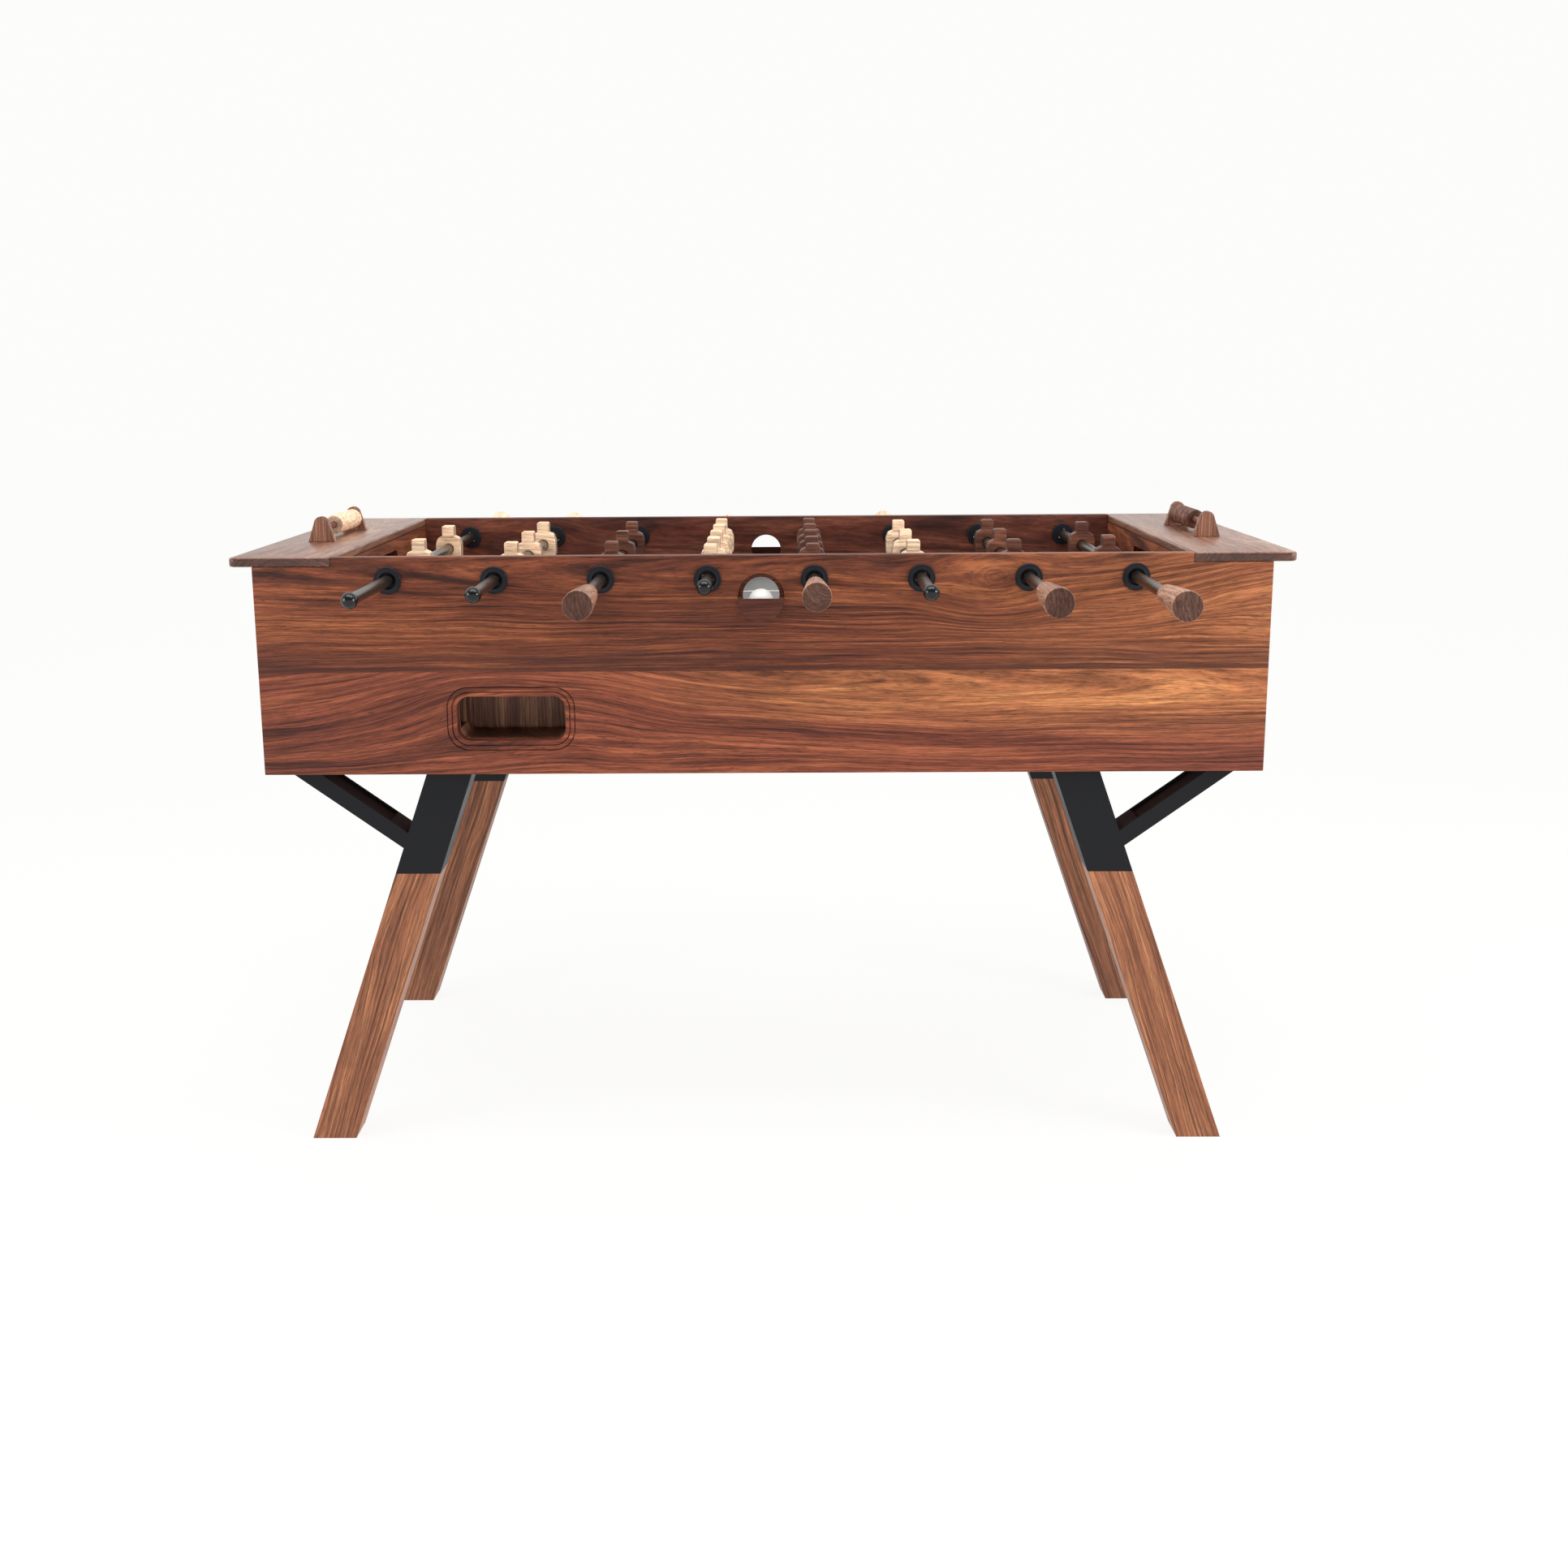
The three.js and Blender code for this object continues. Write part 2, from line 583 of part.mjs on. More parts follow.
// An L-shaped channel that falls from under a goal to the front and then along to the pocket.
function returnTrough(side) {
  const pocketEnd = POCKET_X + side * (POCKET_HALF_WIDTH + POCKET_WALL + GAP);
  const farEnd = side * (CABINET_HALF_LENGTH - PANEL - GAP);
  const cornerFloor = TROUGH_ENTRY + TROUGH_SLOPE * Math.abs(farEnd - pocketEnd);
  const half = TROUGH_WIDTH / 2;

  function channel(inset, floor, height, overrun) {
    const ends = [pocketEnd - side * overrun, farEnd - side * inset];
    const along = box(
      [Math.min(...ends), TROUGH_Y - half + inset, floor],
      [Math.max(...ends), TROUGH_Y + half - inset, floor + height],
    );
    const fall = new THREE.Matrix4().makeShear(0, side * TROUGH_SLOPE, 0, 0, 0, 0);
    along.translate(-pocketEnd, 0, 0).applyMatrix4(fall).translate(pocketEnd, 0, TROUGH_ENTRY);

    const sides = [farEnd - side * inset, farEnd - side * (TROUGH_WIDTH - inset)];
    const across = box(
      [Math.min(...sides), inset, floor],
      [Math.max(...sides), TROUGH_REACH - TROUGH_Y + half - inset, floor + height],
    );
    const tilt = new THREE.Matrix4().makeShear(0, 0, 0, TROUGH_SLOPE, 0, 0);
    across.applyMatrix4(tilt).translate(0, TROUGH_Y - half, cornerFloor);
    return joined(along, across);
  }

  const body = channel(0, -TROUGH_WALL, TROUGH_DEPTH, 0);
  const hollow = channel(TROUGH_WALL, 0, TROUGH_DEPTH + CUT, CUT);
  return toGeometry(body.subtract(hollow));
}

add('return_pocket', returnPocket(), walnut());
for (const side of [-1, 1]) {
  add(`${sideName(side)}_return_trough`, returnTrough(side), blackPlastic());
}

// ---- Bead scorers ------------------------------------------------------------------------------

// One end bracket of a scorer: straight sides that run into a round top.
function scorerBracket(yLow) {
  const centre = SCORER_HEIGHT - SCORER_TOP_RADIUS;
  const reach = Math.hypot(SCORER_BASE_HALF_WIDTH, centre);
  const touch = Math.acos(SCORER_TOP_RADIUS / reach) - Math.atan2(centre, SCORER_BASE_HALF_WIDTH);
  const points = [
    [-SCORER_BASE_HALF_WIDTH, GAP],
    [SCORER_BASE_HALF_WIDTH, GAP],
    ...arcPoints(0, centre, SCORER_TOP_RADIUS, touch, Math.PI - touch, 6),
  ];
  return extrudeAcross(outline(points), yLow, yLow + SCORER_BRACKET);
}

function scoreFrame() {
  const near = scorerBracket(-SCORER_HALF_LENGTH);
  const far = scorerBracket(SCORER_HALF_LENGTH - SCORER_BRACKET);
  const dowelEnd = SCORER_HALF_LENGTH - SCORER_BRACKET / 2;
  const dowel = turned([
    [0, -dowelEnd],
    [DOWEL_RADIUS, -dowelEnd],
    [DOWEL_RADIUS, dowelEnd],
    [0, dowelEnd],
  ]);
  dowel.translate(0, 0, DOWEL_HEIGHT);
  return toGeometry(joined(near, far, dowel));
}

// A row of bored beads that lie against each other, pushed up to the far bracket.
function beadRow() {
  const far = SCORER_HALF_LENGTH - SCORER_BRACKET - GAP;
  const start = far - BEAD_COUNT * BEAD_LENGTH;
  const profile = [[BEAD_BORE, start]];
  for (let i = 0; i < BEAD_COUNT; i += 1) {
    const y = start + i * BEAD_LENGTH;
    profile.push([BEAD_GROOVE_RADIUS, y], [BEAD_RADIUS, y + BEAD_LENGTH / 2]);
  }
  profile.push([BEAD_GROOVE_RADIUS, far], [BEAD_BORE, far], [BEAD_BORE, start]);
  return turned(profile);
}

for (const side of [-1, 1]) {
  const base = [side * SCORER_X, 0, SHELF_TOP];
  add(`${sideName(side)}_score_frame`, scoreFrame(), walnut(), base);
  const beadBase = [side * SCORER_X, 0, SHELF_TOP + DOWEL_HEIGHT];
  add(`${sideName(side)}_score_beads`, beadRow(), side < 0 ? maple() : walnut(), beadBase);
}

export default table;
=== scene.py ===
import math

import bmesh
import bpy
from mathutils import Matrix, Vector

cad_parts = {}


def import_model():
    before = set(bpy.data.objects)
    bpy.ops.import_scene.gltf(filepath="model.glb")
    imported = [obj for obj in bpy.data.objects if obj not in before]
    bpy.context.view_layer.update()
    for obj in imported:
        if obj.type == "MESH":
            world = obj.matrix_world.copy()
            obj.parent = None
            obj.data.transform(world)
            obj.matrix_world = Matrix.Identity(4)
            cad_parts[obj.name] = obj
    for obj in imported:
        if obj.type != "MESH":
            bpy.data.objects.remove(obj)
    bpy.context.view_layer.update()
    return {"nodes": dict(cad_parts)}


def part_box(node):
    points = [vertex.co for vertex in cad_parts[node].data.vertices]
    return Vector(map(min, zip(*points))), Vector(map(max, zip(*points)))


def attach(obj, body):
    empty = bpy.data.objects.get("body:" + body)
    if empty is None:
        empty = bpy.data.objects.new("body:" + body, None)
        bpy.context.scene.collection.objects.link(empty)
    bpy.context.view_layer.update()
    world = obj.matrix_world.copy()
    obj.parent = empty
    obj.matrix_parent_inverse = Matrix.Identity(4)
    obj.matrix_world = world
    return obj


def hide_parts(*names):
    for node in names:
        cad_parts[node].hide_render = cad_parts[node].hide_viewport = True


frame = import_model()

# Walnut foosball table. Metres, +Z up, X along the table, Y away from the camera.

MM = 0.001
scene = bpy.context.scene
scene.view_settings.view_transform = "Standard"

# ---- Dimensions of the detailed pieces, measured from the frame where it has them ----------------

ROD_COUNT = 8
FRONT, BACK = -1, 1
HANDLE_SIDE = {1: BACK, 2: BACK, 3: FRONT, 4: BACK, 5: FRONT, 6: BACK, 7: FRONT, 8: FRONT}
PLAYERS = {1: 2, 2: 3, 3: 3, 4: 5, 5: 5, 6: 3, 7: 3, 8: 2}
SPACING = {2: 0.250, 3: 0.184, 5: 0.118}
MAPLE_RODS = (1, 2, 4, 6)

PANEL_LOW, PANEL_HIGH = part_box("front_panel")
BACK_LOW, BACK_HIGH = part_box("back_panel")
SHELF_LOW, SHELF_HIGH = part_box("right_end_shelf")
POCKET_LOW, POCKET_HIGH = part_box("return_pocket")
CUP_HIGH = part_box("front_ball_cup")[1]
BALL_LOW, BALL_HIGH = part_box("ball")

OUTER_Y = BACK_HIGH.y
INNER_Y = BACK_LOW.y
PANEL_MID_Y = (OUTER_Y + INNER_Y) / 2
PANEL_THICKNESS = OUTER_Y - INNER_Y
CABINET_X = PANEL_HIGH.x
CABINET_BOTTOM = PANEL_LOW.z
RAIL_TOP = PANEL_HIGH.z
FIELD_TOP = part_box("playfield")[1].z
CLEARANCE = 0.3 * MM
NOTCH_X = SHELF_LOW.x - CLEARANCE
NOTCH_Z = SHELF_LOW.z - CLEARANCE
BOARD_JOINT = 717 * MM

ROD_RADIUS = 8 * MM
CAP_RADIUS = 11 * MM
BEARING_HOLE = 14 * MM
BALL_HOLE_Z = CUP_HIGH.z
BALL_HOLE_RADIUS = 26 * MM
CUP_RADIUS = CUP_HIGH.x
POCKET_WALL = 8 * MM
POCKET_X = (POCKET_LOW.x + POCKET_HIGH.x) / 2
POCKET_Z = (POCKET_LOW.z + POCKET_HIGH.z) / 2
POCKET_HALF_X = (POCKET_HIGH.x - POCKET_LOW.x) / 2 - POCKET_WALL
POCKET_HALF_Z = (POCKET_HIGH.z - POCKET_LOW.z) / 2 - POCKET_WALL
POCKET_CORNER = 17 * MM
POCKET_OPENING = (POCKET_X, POCKET_Z, POCKET_HALF_X, POCKET_HALF_Z, POCKET_CORNER)


def half_turn(side):
    """The turn about Z that makes a piece drawn for the back face the front."""
    return math.pi if side == FRONT else 0.0


def rod_centre(number):
    low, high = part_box(f"front_bearing_{number}")
    return Vector(((low.x + high.x) / 2, 0, (low.z + high.z) / 2))


# ---- Node helpers ----------------------------------------------------------------------------------


def linear(red, green, blue):
    """A colour written as 0-255 screen values, turned to the linear values that shaders use."""
    def one(value):
        value /= 255
        return value / 12.92 if value <= 0.04045 else ((value + 0.055) / 1.055) ** 2.4
    return (one(red), one(green), one(blue), 1)


class Graph:
    """Short names for adding and linking shader nodes."""

    def __init__(self, tree):
        self.tree = tree

    def node(self, kind, **settings):
        made = self.tree.nodes.new(kind)
        for key, value in settings.items():
            setattr(made, key, value)
        return made

    def put(self, socket, value):
        if isinstance(value, bpy.types.NodeSocket):
            self.tree.links.new(value, socket)
        else:
            socket.default_value = value

    def coords(self, kind="Object"):
        return self.node("ShaderNodeTexCoord").outputs[kind]

    def math(self, operation, *values):
        made = self.node("ShaderNodeMath", operation=operation)
        for socket, value in zip(made.inputs, values):
            self.put(socket, value)
        return made.outputs[0]

    def add(self, first, second):
        return self.math("ADD", first, second)

    def minus(self, first, second):
        return self.math("SUBTRACT", first, second)

    def times(self, first, second):
        return self.math("MULTIPLY", first, second)

    def length(self, first, second):
        """The length of a flat vector with the given two parts."""
        return self.math("SQRT", self.add(self.times(first, first), self.times(second, second)))

    def scaled(self, vector, x, y, z):
        made = self.node("ShaderNodeVectorMath", operation="MULTIPLY")
        self.put(made.inputs[0], vector)
        made.inputs[1].default_value = (x, y, z)
        return made.outputs[0]

    def plus(self, vector, other):
        made = self.node("ShaderNodeVectorMath", operation="ADD")
        self.put(made.inputs[0], vector)
        self.put(made.inputs[1], other)
        return made.outputs[0]

    def noise(self, vector, detail, roughness=0.5):
        made = self.node("ShaderNodeTexNoise")
        self.put(made.inputs["Vector"], vector)
        made.inputs["Scale"].default_value = 1
        made.inputs["Detail"].default_value = detail
        made.inputs["Roughness"].default_value = roughness
        return made.outputs["Fac"]

    def smooth(self, value, low, high, to_low=0.0, to_high=1.0):
        made = self.node("ShaderNodeMapRange", interpolation_type="SMOOTHSTEP")
        for socket, given in zip(made.inputs, (value, low, high, to_low, to_high)):
            self.put(socket, given)
        return made.outputs[0]

    def mix(self, factor, first, second, blend="MIX"):
        made = self.node("ShaderNodeMix", data_type="RGBA", blend_type=blend)
        self.put(made.inputs["Factor"], factor)
        self.put(made.inputs[6], first)
        self.put(made.inputs[7], second)
        return made.outputs[2]

    def split(self, vector):
        made = self.node("ShaderNodeSeparateXYZ")
        self.put(made.inputs[0], vector)
        return made.outputs

    def join(self, x, y, z):
        made = self.node("ShaderNodeCombineXYZ")
        for socket, value in zip(made.inputs, (x, y, z)):
            self.put(socket, value)
        return made.outputs[0]


def new_material(name):
    material = bpy.data.materials.new(name)
    material.use_nodes = True
    graph = Graph(material.node_tree)
    shader = material.node_tree.nodes["Principled BSDF"]
    return material, graph, shader


def add_bump(graph, shader, height, distance, strength=1.0):
    bump = graph.node("ShaderNodeBump")
    graph.put(bump.inputs["Height"], height)
    bump.inputs["Distance"].default_value = distance
    bump.inputs["Strength"].default_value = strength
    graph.put(shader.inputs["Normal"], bump.outputs[0])


# ---- Wood ------------------------------------------------------------------------------------------


def wood_group():
    """Sawn wood with its grain along X: growth rings cut by the board, broad tone, streaks and pores."""
    tree = bpy.data.node_groups.new("sawn_wood", "ShaderNodeTree")
    sockets = (
        ("Vector", "NodeSocketVector"), ("Light", "NodeSocketColor"), ("Middle", "NodeSocketColor"),
        ("Dark", "NodeSocketColor"), ("Ring", "NodeSocketFloat"), ("Pith", "NodeSocketVector"),
        ("Ring Strength", "NodeSocketFloat"), ("Pore Strength", "NodeSocketFloat"),
        ("Contrast", "NodeSocketFloat"),
    )
    for name, kind in sockets:
        tree.interface.new_socket(name, in_out="INPUT", socket_type=kind)
    for name, kind in (("Color", "NodeSocketColor"), ("Height", "NodeSocketFloat")):
        tree.interface.new_socket(name, in_out="OUTPUT", socket_type=kind)
    g = Graph(tree)
    source = g.node("NodeGroupInput").outputs
    vector = source["Vector"]

    # The rings wander slowly along the board and waver finely.
    slow = g.minus(g.noise(g.scaled(vector, 1.7, 7, 7), 2.0), 0.5)
    fine = g.minus(g.noise(g.scaled(vector, 9, 60, 60), 3.0), 0.5)
    shift = g.add(g.times(slow, 0.055), g.times(fine, 0.005))
    middle = g.node("ShaderNodeVectorMath", operation="SUBTRACT")
    g.put(middle.inputs[0], vector)
    g.put(middle.inputs[1], source["Pith"])
    x, y, z = g.split(middle.outputs[0])
    z = g.add(z, shift)
    y = g.add(y, g.times(x, 0.02))
    radius = g.length(y, z)
    around = g.minus(y, z)

    def grain(along, across, tangent, detail, roughness):
        spot = g.join(g.times(x, along), g.times(radius, across), g.times(around, tangent))
        return g.noise(spot, detail, roughness)

    phase = g.math("FRACT", g.math("DIVIDE", radius, source["Ring"]))
    late = g.times(g.smooth(phase, 0.35, 0.93), g.smooth(phase, 0.94, 1.0, 1.0, 0.0))
    late = g.times(late, g.smooth(grain(2.5, 75, 8, 2.0, 0.5), 0.38, 0.66, 0.1, 1.0))
    broad = grain(1.6, 30, 9, 3.0, 0.55)
    band = grain(4.5, 290, 30, 4.0, 0.65)
    streak = grain(15, 640, 130, 4.0, 0.65)
    fleck = grain(60, 1300, 900, 2.0, 0.6)
    pores = g.smooth(grain(48, 1000, 900, 2.0, 0.65), 0.57, 0.7)

    level = g.add(g.times(broad, 0.42), g.times(band, 0.58))
    level = g.add(g.times(g.minus(level, 0.5), source["Contrast"]), 0.5)
    color = g.mix(g.smooth(level, 0.22, 0.5), source["Dark"], source["Middle"])
    color = g.mix(g.smooth(level, 0.47, 0.72), color, source["Light"])
    color = g.mix(g.times(late, source["Ring Strength"]), color, source["Dark"])
    tone = g.add(g.smooth(streak, 0.3, 0.7, 0.6, 1.34), g.smooth(fleck, 0.3, 0.7, -0.18, 0.18))
    color = g.mix(1.0, color, g.join(tone, tone, tone), "MULTIPLY")
    poured = g.times(pores, source["Pore Strength"])
    color = g.mix(poured, color, g.mix(0.5, source["Dark"], (0.01, 0.006, 0.004, 1)))

    height = g.minus(g.times(streak, 0.35), g.times(pores, 0.65))
    target = g.node("NodeGroupOutput").inputs
    g.put(target["Color"], color)
    g.put(target["Height"], height)
    return tree


WOOD = wood_group()
TONE_SOCKETS = ("Light", "Middle", "Dark")
WALNUT = (linear(160, 92, 56), linear(120, 62, 40), linear(54, 26, 20))
# Darker tones for the back panel's upper board: painted shade, standing for the shade on the far wall
# inside the table.
SHADE_PAINTED_BACK_WALNUT = (linear(120, 66, 48), linear(92, 46, 35), linear(48, 24, 20))
ROSY_WALNUT = (linear(162, 90, 60), linear(126, 64, 45), linear(64, 30, 24))
GOLDEN_WALNUT = (linear(210, 140, 86), linear(174, 106, 66), linear(98, 52, 32))
# Paler, greyer tones for the shelves and score brackets: partly the wood's own tone, partly a painted
# sheen standing for the white reflection on the shelf tops.
SHEEN_PAINTED_SHELF_WALNUT = (linear(170, 124, 98), linear(136, 92, 73), linear(84, 53, 44))
LEG_WALNUT = (linear(190, 128, 88), linear(152, 94, 64), linear(80, 42, 29))
DARK_LEG_WALNUT = (linear(170, 114, 78), linear(126, 77, 53), linear(60, 32, 23))
HANDLE_WALNUT = (linear(188, 146, 120), linear(150, 107, 86), linear(88, 56, 45))
PLAYER_WALNUT = (linear(146, 92, 68), linear(108, 65, 50), linear(58, 32, 26))
# Darker tones for the ball cup: painted shade, for the shade that lies on the cup round the ball.
SHADE_PAINTED_CUP_WALNUT = (linear(112, 62, 46), linear(88, 46, 35), linear(50, 24, 19))
# Pale tones for the return pocket's inside: painted light, brightening the shade in the recess.
LIGHT_PAINTED_POCKET_WALNUT = (linear(186, 138, 106), linear(142, 96, 76), linear(92, 58, 46))
MAPLE = (linear(255, 230, 198), linear(252, 214, 178), linear(228, 178, 138))
KNOT_RING = 6.5 * MM
KNOT_REACH = 90 * MM
STREAKS_FADE = BOARD_JOINT + 10 * MM
STREAKS_END = BOARD_JOINT + 42 * MM
# The lower board is cut from another part of the same wood, this far along and up.
LOWER_BOARD_AWAY = 4.3
LOWER_BOARD_UP = 0.15


def wood(name, tones, turn=(0, 0, 0), offset=(0, 0, 0), ring=0.007, pith=(0, 0.05, 0), ring_strength=0.55,
         pore_strength=0.5, roughness=0.45, vary=False, bump=0.00012, contrast=1.75, gloss=0.3,
         end_grain=0.8):
    """A wood whose grain runs along X of the object's own coordinates, after the given turn."""
    material, g, shader = new_material(name)
    mapping = g.node("ShaderNodeMapping", vector_type="POINT")
    mapping.inputs["Rotation"].default_value = turn
    mapping.inputs["Location"].default_value = offset
    g.put(mapping.inputs["Vector"], g.coords())
    vector = mapping.outputs[0]
    if vary:
        chance = g.node("ShaderNodeObjectInfo").outputs["Random"]
        along = g.times(chance, 9.0)
        aside = g.times(g.math("FRACT", g.times(chance, 37.0)), 0.04)
        vector = g.plus(vector, g.join(along, aside, aside))
    group = g.node("ShaderNodeGroup", node_tree=WOOD)
    g.put(group.inputs["Vector"], vector)
    for socket, value in zip(TONE_SOCKETS, tones):
        group.inputs[socket].default_value = value
    group.inputs["Ring"].default_value = ring
    group.inputs["Pith"].default_value = pith
    group.inputs["Ring Strength"].default_value = ring_strength
    group.inputs["Pore Strength"].default_value = pore_strength
    group.inputs["Contrast"].default_value = contrast
    shader.inputs["Specular IOR Level"].default_value = gloss
    # Sawn ends, which face along the grain, soak up more oil and are darker.
    facing = g.node("ShaderNodeMapping", vector_type="VECTOR")
    facing.inputs["Rotation"].default_value = turn
    g.put(facing.inputs["Vector"], g.coords("Normal"))
    end = g.smooth(g.math("ABSOLUTE", g.split(facing.outputs[0])[0]), 0.6, 0.95, 0.0, end_grain)
    soaked = g.mix(1.0, group.outputs["Color"], (0.33, 0.3, 0.33, 1), "MULTIPLY")
    g.put(shader.inputs["Base Color"], g.mix(end, group.outputs["Color"], soaked))
    height = group.outputs["Height"]
    g.put(shader.inputs["Roughness"], g.smooth(height, -0.6, 0.4, roughness + 0.14, roughness))
    add_bump(g, shader, height, bump)
    return material, g, shader, group, vector


def plain_wood(name, tones, **settings):
    return wood(name, tones, **settings)[0]


def hill(g, value, centre, width):
    """A smooth bell of height one."""
    away = g.math("DIVIDE", g.minus(value, centre), width)
    return g.math("EXPONENT", g.times(g.times(away, away), -1.0))


def upper_flow(g, x, z, knot):
    """How the upper board's lines shift, parting round the knot and climbing beyond it, and the distance
    from the knot."""
    knot_x = g.times(g.minus(x, knot[0]), 0.6)
    knot_z = g.minus(z, knot[1])
    distance = g.length(knot_x, knot_z)
    pull = g.times(g.times(g.smooth(distance, 0.0, KNOT_REACH, 1.0, 0.0), knot_z), -0.8)
    climb = g.times(g.smooth(x, knot[0], knot[0] + 0.5), g.smooth(z, 0.735, 0.86))
    return g.add(pull, g.times(climb, -0.06)), distance


def lower_flow(g, x, z):
    """How the lower board's lines shift: they arch over the return opening and slope away on the right."""
    arch = g.times(hill(g, x, -0.36, 0.26), g.smooth(z, 0.575, 0.70))
    slope = g.times(g.smooth(x, 0.05, 0.75), g.smooth(z, 0.575, 0.70, 0.2, 1.0))
    shift = g.add(g.times(arch, -0.062), g.times(slope, 0.028))
    return g.add(shift, LOWER_BOARD_UP)


def knot_rings(g, color, vector, distance):
    """Faint rings in the knot."""
    wobble = g.times(g.noise(g.scaled(vector, 26, 26, 26), 3.0), 0.02)
    eye = g.math("FRACT", g.math("DIVIDE", g.add(distance, wobble), KNOT_RING))
    eye = g.times(g.smooth(eye, 0.2, 0.95), g.smooth(distance, 0.008, 0.03, 0.35, 0.0))
    return g.mix(eye, color, linear(70, 38, 30))


def joint_streaks(g, color, spot, upper, z):
    """Dark streaks just above the boards' joint, and the glue line in it."""
    above = g.times(upper, g.smooth(z, STREAKS_FADE, STREAKS_END, 1.0, 0.0))
    streaks = g.smooth(g.noise(spot, 2.0, 0.5), 0.4, 0.62, 0.1, 0.72)
    color = g.mix(g.times(above, streaks), color, linear(66, 34, 29))
    line = g.math("ABSOLUTE", g.minus(z, BOARD_JOINT))
    return g.mix(g.smooth(line, 0.0002, 0.0008, 0.55, 0.0), color, linear(66, 36, 28))


def panel_wood(name, seed, knot, upper_tones, warmth, mirror=1):
    """A long panel of two glued boards, the upper one streaked and knotted, the lower one rosier."""
    material, g, shader, group, vector = wood(
        name, upper_tones, pith=(0, -0.325, 0.86), ring=0.0068, bump=0.00008, gloss=0.25,
        ring_strength=0.65, pore_strength=0.75)
    x, y, z = g.split(g.coords())
    x = g.times(x, float(mirror))
    y = g.times(y, float(mirror))
    upper = g.math("GREATER_THAN", z, BOARD_JOINT)
    lower = g.minus(1.0, upper)
    upper_shift, distance = upper_flow(g, x, z, knot)
    lower_shift = lower_flow(g, x, z)
    bend = g.add(g.times(upper, upper_shift), g.times(lower, lower_shift))
    along = g.add(g.add(x, seed), g.times(lower, LOWER_BOARD_AWAY))
    g.put(group.inputs["Vector"], g.join(along, y, g.add(z, bend)))

    golden = g.times(g.smooth(x, -0.25, 0.15), g.smooth(g.add(z, lower_shift), 0.77, 0.84))
    warm = g.smooth(x, 0.1, 0.6, 0.0, warmth)
    for socket, rosy, gold, plain in zip(TONE_SOCKETS, ROSY_WALNUT, GOLDEN_WALNUT, upper_tones):
        g.put(group.inputs[socket], g.mix(upper, g.mix(golden, rosy, gold), g.mix(warm, plain, gold)))

    color = knot_rings(g, group.outputs["Color"], vector, distance)
    streak_spot = g.join(g.times(x, 1.2), g.times(g.add(z, bend), 170.0), seed)
    color = joint_streaks(g, color, streak_spot, upper, z)
    g.put(shader.inputs["Base Color"], color)
    return material


def powder_coat():
    material, g, shader = new_material("black_powder_coat")
    coords = g.coords()
    peel = g.noise(g.scaled(coords, 900, 900, 900), 2.0)
    cloud = g.noise(g.scaled(coords, 14, 14, 14), 3.0)
    g.put(shader.inputs["Base Color"], g.mix(cloud, linear(13, 14, 18), linear(21, 22, 26)))
    g.put(shader.inputs["Roughness"], g.smooth(cloud, 0.3, 0.7, 0.46, 0.56))
    shader.inputs["Specular IOR Level"].default_value = 0.25
    add_bump(g, shader, peel, 0.0001, 0.6)
    return material


def rod_metal():
    material, g, shader = new_material("dark_rod_steel")
    coords = g.coords()
    brushed = g.noise(g.scaled(coords, 1400, 20, 1400), 3.0)
    worn = g.noise(g.scaled(coords, 60, 8, 60), 4.0)
    g.put(shader.inputs["Base Color"], g.mix(worn, linear(74, 68, 62), linear(104, 97, 90)))
    shader.inputs["Metallic"].default_value = 0.9
    g.put(shader.inputs["Roughness"], g.smooth(brushed, 0.3, 0.7, 0.24, 0.36))
    add_bump(g, shader, brushed, 0.00002)
    return material


def black_plastic(name, roughness, tint):
    material, g, shader = new_material(name)
    coords = g.coords()
    grain = g.noise(g.scaled(coords, 1100, 1100, 1100), 2.0)
    smear = g.noise(g.scaled(coords, 45, 45, 45), 3.0)
    g.put(shader.inputs["Base Color"], g.mix(smear, linear(*tint), linear(*(c + 10 for c in tint))))
    g.put(shader.inputs["Roughness"], g.smooth(smear, 0.3, 0.7, roughness, roughness + 0.08))
    shader.inputs["Specular IOR Level"].default_value = 0.5 - 0.6 * roughness
    add_bump(g, shader, grain, 0.00005, roughness)
    return material


def field_laminate():
    material, g, shader = new_material("grey_field_laminate")
    coords = g.coords()
    speck = g.noise(g.scaled(coords, 1300, 1300, 1300), 2.0, 0.7)
    cloud = g.noise(g.scaled(coords, 5, 5, 5), 4.0)
    tone = g.mix(cloud, linear(118, 120, 120), linear(132, 133, 132))
    dark_speck = g.smooth(speck, 0.5, 0.75, 0.0, 0.25)
    g.put(shader.inputs["Base Color"], g.mix(dark_speck, tone, linear(84, 86, 86)))
    scuff = g.noise(g.scaled(coords, 12, 90, 12), 3.0)
    g.put(shader.inputs["Roughness"], g.smooth(scuff, 0.3, 0.7, 0.38, 0.5))
    add_bump(g, shader, speck, 0.00003)
    return material


def white_finish(name, roughness):
    material, g, shader = new_material(name)
    coords = g.coords()
    mottle = g.noise(g.scaled(coords, 160, 160, 160), 4.0, 0.6)
    g.put(shader.inputs["Base Color"], g.mix(mottle, linear(236, 233, 226), linear(250, 248, 243)))
    g.put(shader.inputs["Roughness"], g.smooth(mottle, 0.3, 0.7, roughness, roughness + 0.1))
    add_bump(g, shader, mottle, 0.00012)
    return material


QUARTER = math.pi / 2
# How far a leg runs outward for each metre that it goes down.
LEG_SLOPE = 0.3515
LEG_RAKE = math.atan(LEG_SLOPE)
ALONG_Y = (0, 0, -QUARTER)
ALONG_Z = (0, QUARTER, 0)
